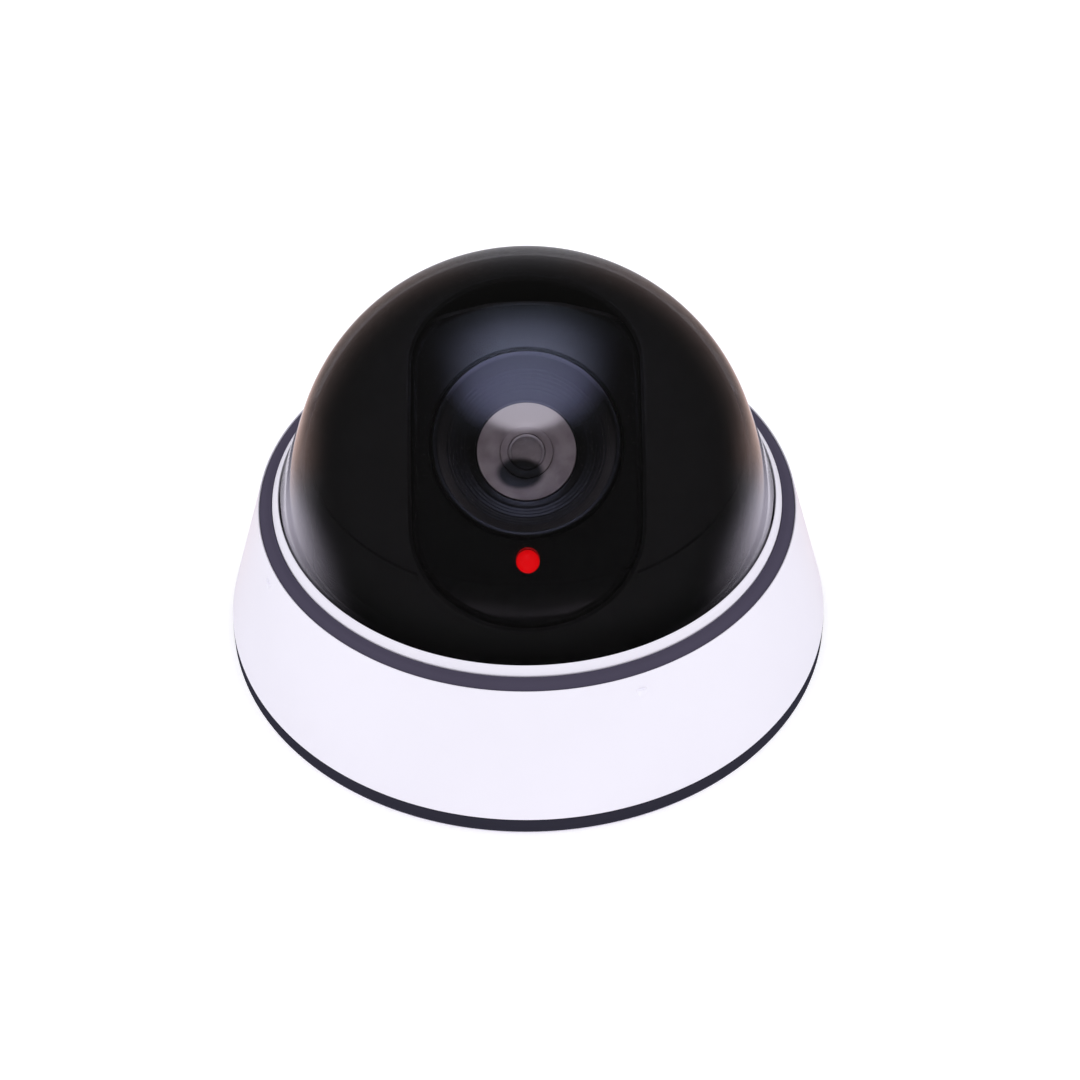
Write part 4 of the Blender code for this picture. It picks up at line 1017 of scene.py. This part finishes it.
def make_barrel():
    """The barrel's tube, and the silvery nose that seats the front lens."""
    nose, neck, rear = HOOD_FLOOR - 1.0, 27.34, 19.04
    bore, seat, outer, inside = 2.1, 3.5, 6.0, 3.45
    tube = [
        (inside, neck), (bore, neck), (bore, rear + 2.4), (seat, rear + 2.4), (seat, rear), (outer, rear),
        (outer, neck),
    ]
    tube = lathe("lens_barrel_tube", rounded(tube, 0.15), FINE)
    piece(moved(tube, LENS_FRAME), "lens_barrel")
    foot = neck + 0.02
    cup = [
        (0, foot), (NOSE, foot), (NOSE, nose, 0.1), (inside, nose, 0.15), (inside, nose - 1.5, 0.2),
        (0, nose - 1.55),
    ]
    cup = lathe("lens_seat", rounded(cup, 0.1, closed=False), FINE, closed=False)
    # The nose takes the reflector's material, with its painted highlight, painted glow and painted dark
    # reflection.
    piece(moved(cup, LENS_FRAME), body="focus", slot="silvered_metal", look=REFLECTOR)


def make_lenses():
    nose, rear, bulge = HOOD_FLOOR - 1.0, 19.04, 0.62
    bulb = [(0, nose - 1.3), (LENS, nose - 1.3, 0.15), (LENS, nose, 0.1)]
    bulb += [(reach, nose + bulge * rise, 0) for reach, rise in arc(LENS, 0, 90, 24)[1:-1]]
    bulb.append((0, nose + bulge * LENS))
    bulb = lathe("front_lens_glass", rounded(bulb, 0.1, closed=False), FINE, closed=False)
    piece(moved(bulb, LENS_FRAME), "front_lens")
    back = rear + 2.1
    rear_lens = [(0, rear - 0.3), (2.0, rear), (LENS, rear + 0.5), (LENS, back), (0, back)]
    rear_lens = lathe("rear_lens_glass", rounded(rear_lens, 0.1, closed=False), FINE, closed=False)
    piece(moved(rear_lens, LENS_FRAME), "rear_lens")


# Screws

EDGE = math.radians(EYEBALL_HIGH)
UP, DOWN = Vector((0, 0, 1)), Vector((0, 0, -1))
SCREW_AIMS = {
    "bearing_screw": UP, "board_screw": UP, "service_screw": UP, "yoke_screw": UP, "liner_screw": DOWN,
    "retainer_screw": DOWN, "eyeball_screw": Vector((0, math.sin(EDGE), math.cos(EDGE))),
    "tilt_screw_left": Vector((-1, 0, 0)), "tilt_screw_right": Vector((1, 0, 0)),
}
SMALL_SCREW = (1.7, 1.0, 0.8)  # head radius, head height and shank radius
TILT_SCREW = (4.0, 1.8, 2.5)
PITCH = 0.5


def screw(length, head, height, shank):
    """A pan-head screw with a cross recess and a shallow thread, its head's underside at the origin."""
    root, threads = shank - 0.14, []
    for turn in range(int(max(length - 1.0, PITCH) / PITCH)):
        z = -length + 0.4 + PITCH * turn
        threads += [(root, z), (shank, z + PITCH / 2)]
    crown = [(head * x, height * (0.45 + 0.55 * y)) for x, y in arc(1, 10, 80, 7)]
    profile = [(0, -length), (shank - 0.3, -length), *threads, (root, -0.2), (root, 0), (head, 0)]
    profile += [(head, height * 0.45), *crown, (0, height)]
    made = lathe("screw", profile, SMALL, closed=False)
    wide, narrow = head * 0.62, head * 0.13
    for x, y in ((wide, narrow), (narrow, wide)):
        cut(made, bar("recess", (-x, -y, height * 0.4), (x, y, height + 1)))
    return made


def make_screws():
    """A fine screw on each of the CAD's, which tells how long it is and where the top of its head lies."""
    made = {}
    for node in sorted(NODES):
        prefix = next((name for name in SCREW_AIMS if node.startswith(name)), None)
        if prefix is None:
            continue
        aim = SCREW_AIMS[prefix].normalized()
        verts = [vert.co for vert in NODES[node].data.vertices]
        heights = [vert.dot(aim) for vert in verts]
        high, low = max(heights), min(heights)
        crown = [vert for vert, height in zip(verts, heights) if height > high - 1e-5]
        lows, highs = [Vector(map(pick, zip(*crown))) for pick in (min, max)]
        size = TILT_SCREW if prefix.startswith("tilt") else SMALL_SCREW
        length = (high - low) / MM - size[1]
        key = (round(length, 2), size)
        if key not in made:
            made[key] = screw(length, *size)
        fine = linked(f"{node}_fine", made[key].data.copy())
        moved(fine, aim.to_track_quat("Z", "Y").to_matrix().to_4x4())
        moved(fine, Matrix.Translation((lows + highs) / 2 - aim * size[1] * MM))
        piece(fine, node)
    for source in made.values():
        bpy.data.objects.remove(source)


# CAD nodes that stay: they get their material and soft edges


def dress_nodes():
    for node, obj in NODES.items():
        if obj.hide_render:
            continue
        obj.data.materials.clear()
        obj.data.materials.append(LOOKS[SLOT_OF[node]].material)
        bevelled(obj, 0.15, 2, 50)


# Stage: floor, world, lights and camera

ROOM = 0.81  # brightness of the white room
SOFTBOX = 5.6  # brightness of the overhead softbox in mirrors
GLOW = 3.4  # and of the low glow in front
KEY_PLACE = Vector((0.0, -0.25, 0.75))
CAMERA_PLACE = Vector((0, -0.35293, 0.35518))
CAMERA_FALL = math.radians(45.1)
CAMERA_ROLL = math.radians(0.69)
AIM_RIGHT, AIM_UP = 0.0047485, 0.0266487  # of the view's middle, as shares of the distance ahead


def make_floor():
    bm = bmesh.new()
    bmesh.ops.create_grid(bm, x_segments=1, y_segments=1, size=3.0)
    mesh = bpy.data.meshes.new("floor")
    bm.to_mesh(mesh)
    bm.free()
    floor = linked("floor", mesh)
    look = Look("floor_white", (0.93, 0.93, 0.94), 0.9)
    look.glow((1, 1, 1), 0.35)
    look.vary_roughness(3, 0.86, 0.94)
    mesh.materials.append(look.material)
    floor.visible_glossy = False


class Sky(Nodes):
    """The node tree of a world that is drawn by the direction of each ray."""

    def dot(self, vector, direction):
        node = self.node("ShaderNodeVectorMath", operation="DOT_PRODUCT")
        node.inputs[1].default_value = Vector(direction).normalized()
        self.link(vector, node.inputs[0])
        return node.outputs["Value"]

    def background(self, strength, colour):
        node = self.node("ShaderNodeBackground")
        node.inputs["Color"].default_value = (*colour, 1)
        self.link(strength, node.inputs["Strength"])
        return node.outputs["Background"]

    def joined(self, kind, *inputs):
        node = self.node(kind)
        for socket, value in zip(node.inputs, inputs):
            self.link(value, socket)
        return node.outputs["Shader"]

    def angled(self, source, low, high, start, end):
        """As ranged, with the source in radians and start and end in degrees."""
        return self.ranged(source, low, high, math.radians(start), math.radians(end))


def make_world():
    """A white room. Mirrors see it dark in front and bright low at the back, under a bluish softbox."""
    world = bpy.data.worlds.new("studio")
    bpy.context.scene.world = world
    world.use_nodes = True
    sky = Sky(world.node_tree)
    ray = sky.node("ShaderNodeTexCoord").outputs["Generated"]
    front, over = sky.dot(ray, (0, -1, 1)), sky.dot(ray, (0, 1, 1))
    side = sky.math("ABSOLUTE", sky.dot(ray, (1, 0, 0)))
    # The height is 0 at the front, 90 degrees overhead and 180 at the back.
    height = sky.math("ARCTAN2", sky.dot(ray, (0, 0, 1)), sky.dot(ray, (0, -1, 0)))

    rim = sky.ranged(front, 0.0, 1.0, -0.45, -1.0, kind="LINEAR")
    rim = sky.math("MULTIPLY", rim, sky.ranged(over, 1.0, 0.36, 0.1, 0.3))
    warmth = sky.math("MULTIPLY", sky.ranged(over, 0, 1, 0.0, 0.12), sky.ranged(side, 0, 1, 0.05, 0.3))
    warm = sky.math("MULTIPLY", rim, warmth)
    cool = sky.math("MULTIPLY", rim, sky.math("SUBTRACT", 1.0, warmth))
    glow = sky.math("MULTIPLY", sky.angled(height, 0, GLOW, -82, -55), sky.angled(height, 1, 0, -44, -29))
    glow = sky.math("MULTIPLY", glow, sky.ranged(side, 1, 0, 0.15, 0.6))
    cool = sky.math("ADD", cool, glow)
    box = sky.ranged(side, SOFTBOX, 0.0, 0.08, 0.64)
    for low, high, start, end in ((0, 1, 62, 86), (1, 0.3, 100, 136), (1, 0, 135.5, 138)):
        box = sky.math("MULTIPLY", box, sky.angled(height, low, high, start, end))

    cool, warm = sky.background(cool, (0.95, 0.92, 1.0)), sky.background(warm, (1.05, 0.73, 0.66))
    mirror = sky.joined("ShaderNodeAddShader", cool, warm)
    mirror = sky.joined("ShaderNodeAddShader", mirror, sky.background(box, (0.62, 0.71, 1.0)))
    room = sky.ranged(side, 0.81 * ROOM, 1.52 * ROOM, 0.2, 1.0)
    room = sky.background(room, (0.965, 0.955, 1.0))
    glossy = sky.node("ShaderNodeLightPath").outputs["Is Glossy Ray"]
    seen = sky.joined("ShaderNodeMixShader", glossy, room, mirror)
    sky.link(seen, world.node_tree.nodes["World Output"].inputs["Surface"])


def make_key_light():
    light = bpy.data.lights.new("key", "AREA")
    light.shape = "DISK"
    light.size = 0.5
    light.energy = 1.2
    key = linked("key", light)
    key.location = KEY_PLACE
    key.rotation_euler = (CENTRE - KEY_PLACE).to_track_quat("-Z", "Y").to_euler()
    key.visible_glossy = False


def make_camera():
    data = bpy.data.cameras.new("camera")
    data.sensor_width = 36.0
    data.lens = 81.43
    data.clip_start = 0.01
    ahead = Vector((0, math.cos(CAMERA_FALL), -math.sin(CAMERA_FALL)))
    above = Vector((0, math.sin(CAMERA_FALL), math.cos(CAMERA_FALL)))
    across = Vector((1, 0, 0))
    right = math.cos(CAMERA_ROLL) * across - math.sin(CAMERA_ROLL) * above
    upward = math.sin(CAMERA_ROLL) * across + math.cos(CAMERA_ROLL) * above
    aim = (ahead + right * AIM_RIGHT + upward * AIM_UP).normalized()
    side = aim.cross(upward).normalized()
    camera = linked("camera", data)
    camera.matrix_world = Matrix((side, side.cross(aim), -aim)).transposed().to_4x4()
    camera.location = CAMERA_PLACE
    bpy.context.scene.camera = camera


make_housing()
make_trims()
make_dome()
make_retainer()
make_base_plate()
make_posts()
make_fingers()
make_bearing()
make_boards()
make_pins()
make_components()
make_button()
make_grommet()
make_turntable()
make_yoke()
make_liner()
make_eyeball()
make_collar()
make_lamp()
make_washers()
make_hood()
make_reflector()
make_module()
make_barrel()
make_lenses()
make_screws()
dress_nodes()
make_floor()
make_world()
make_key_light()
make_camera()
bpy.context.scene.view_settings.view_transform = "Standard"
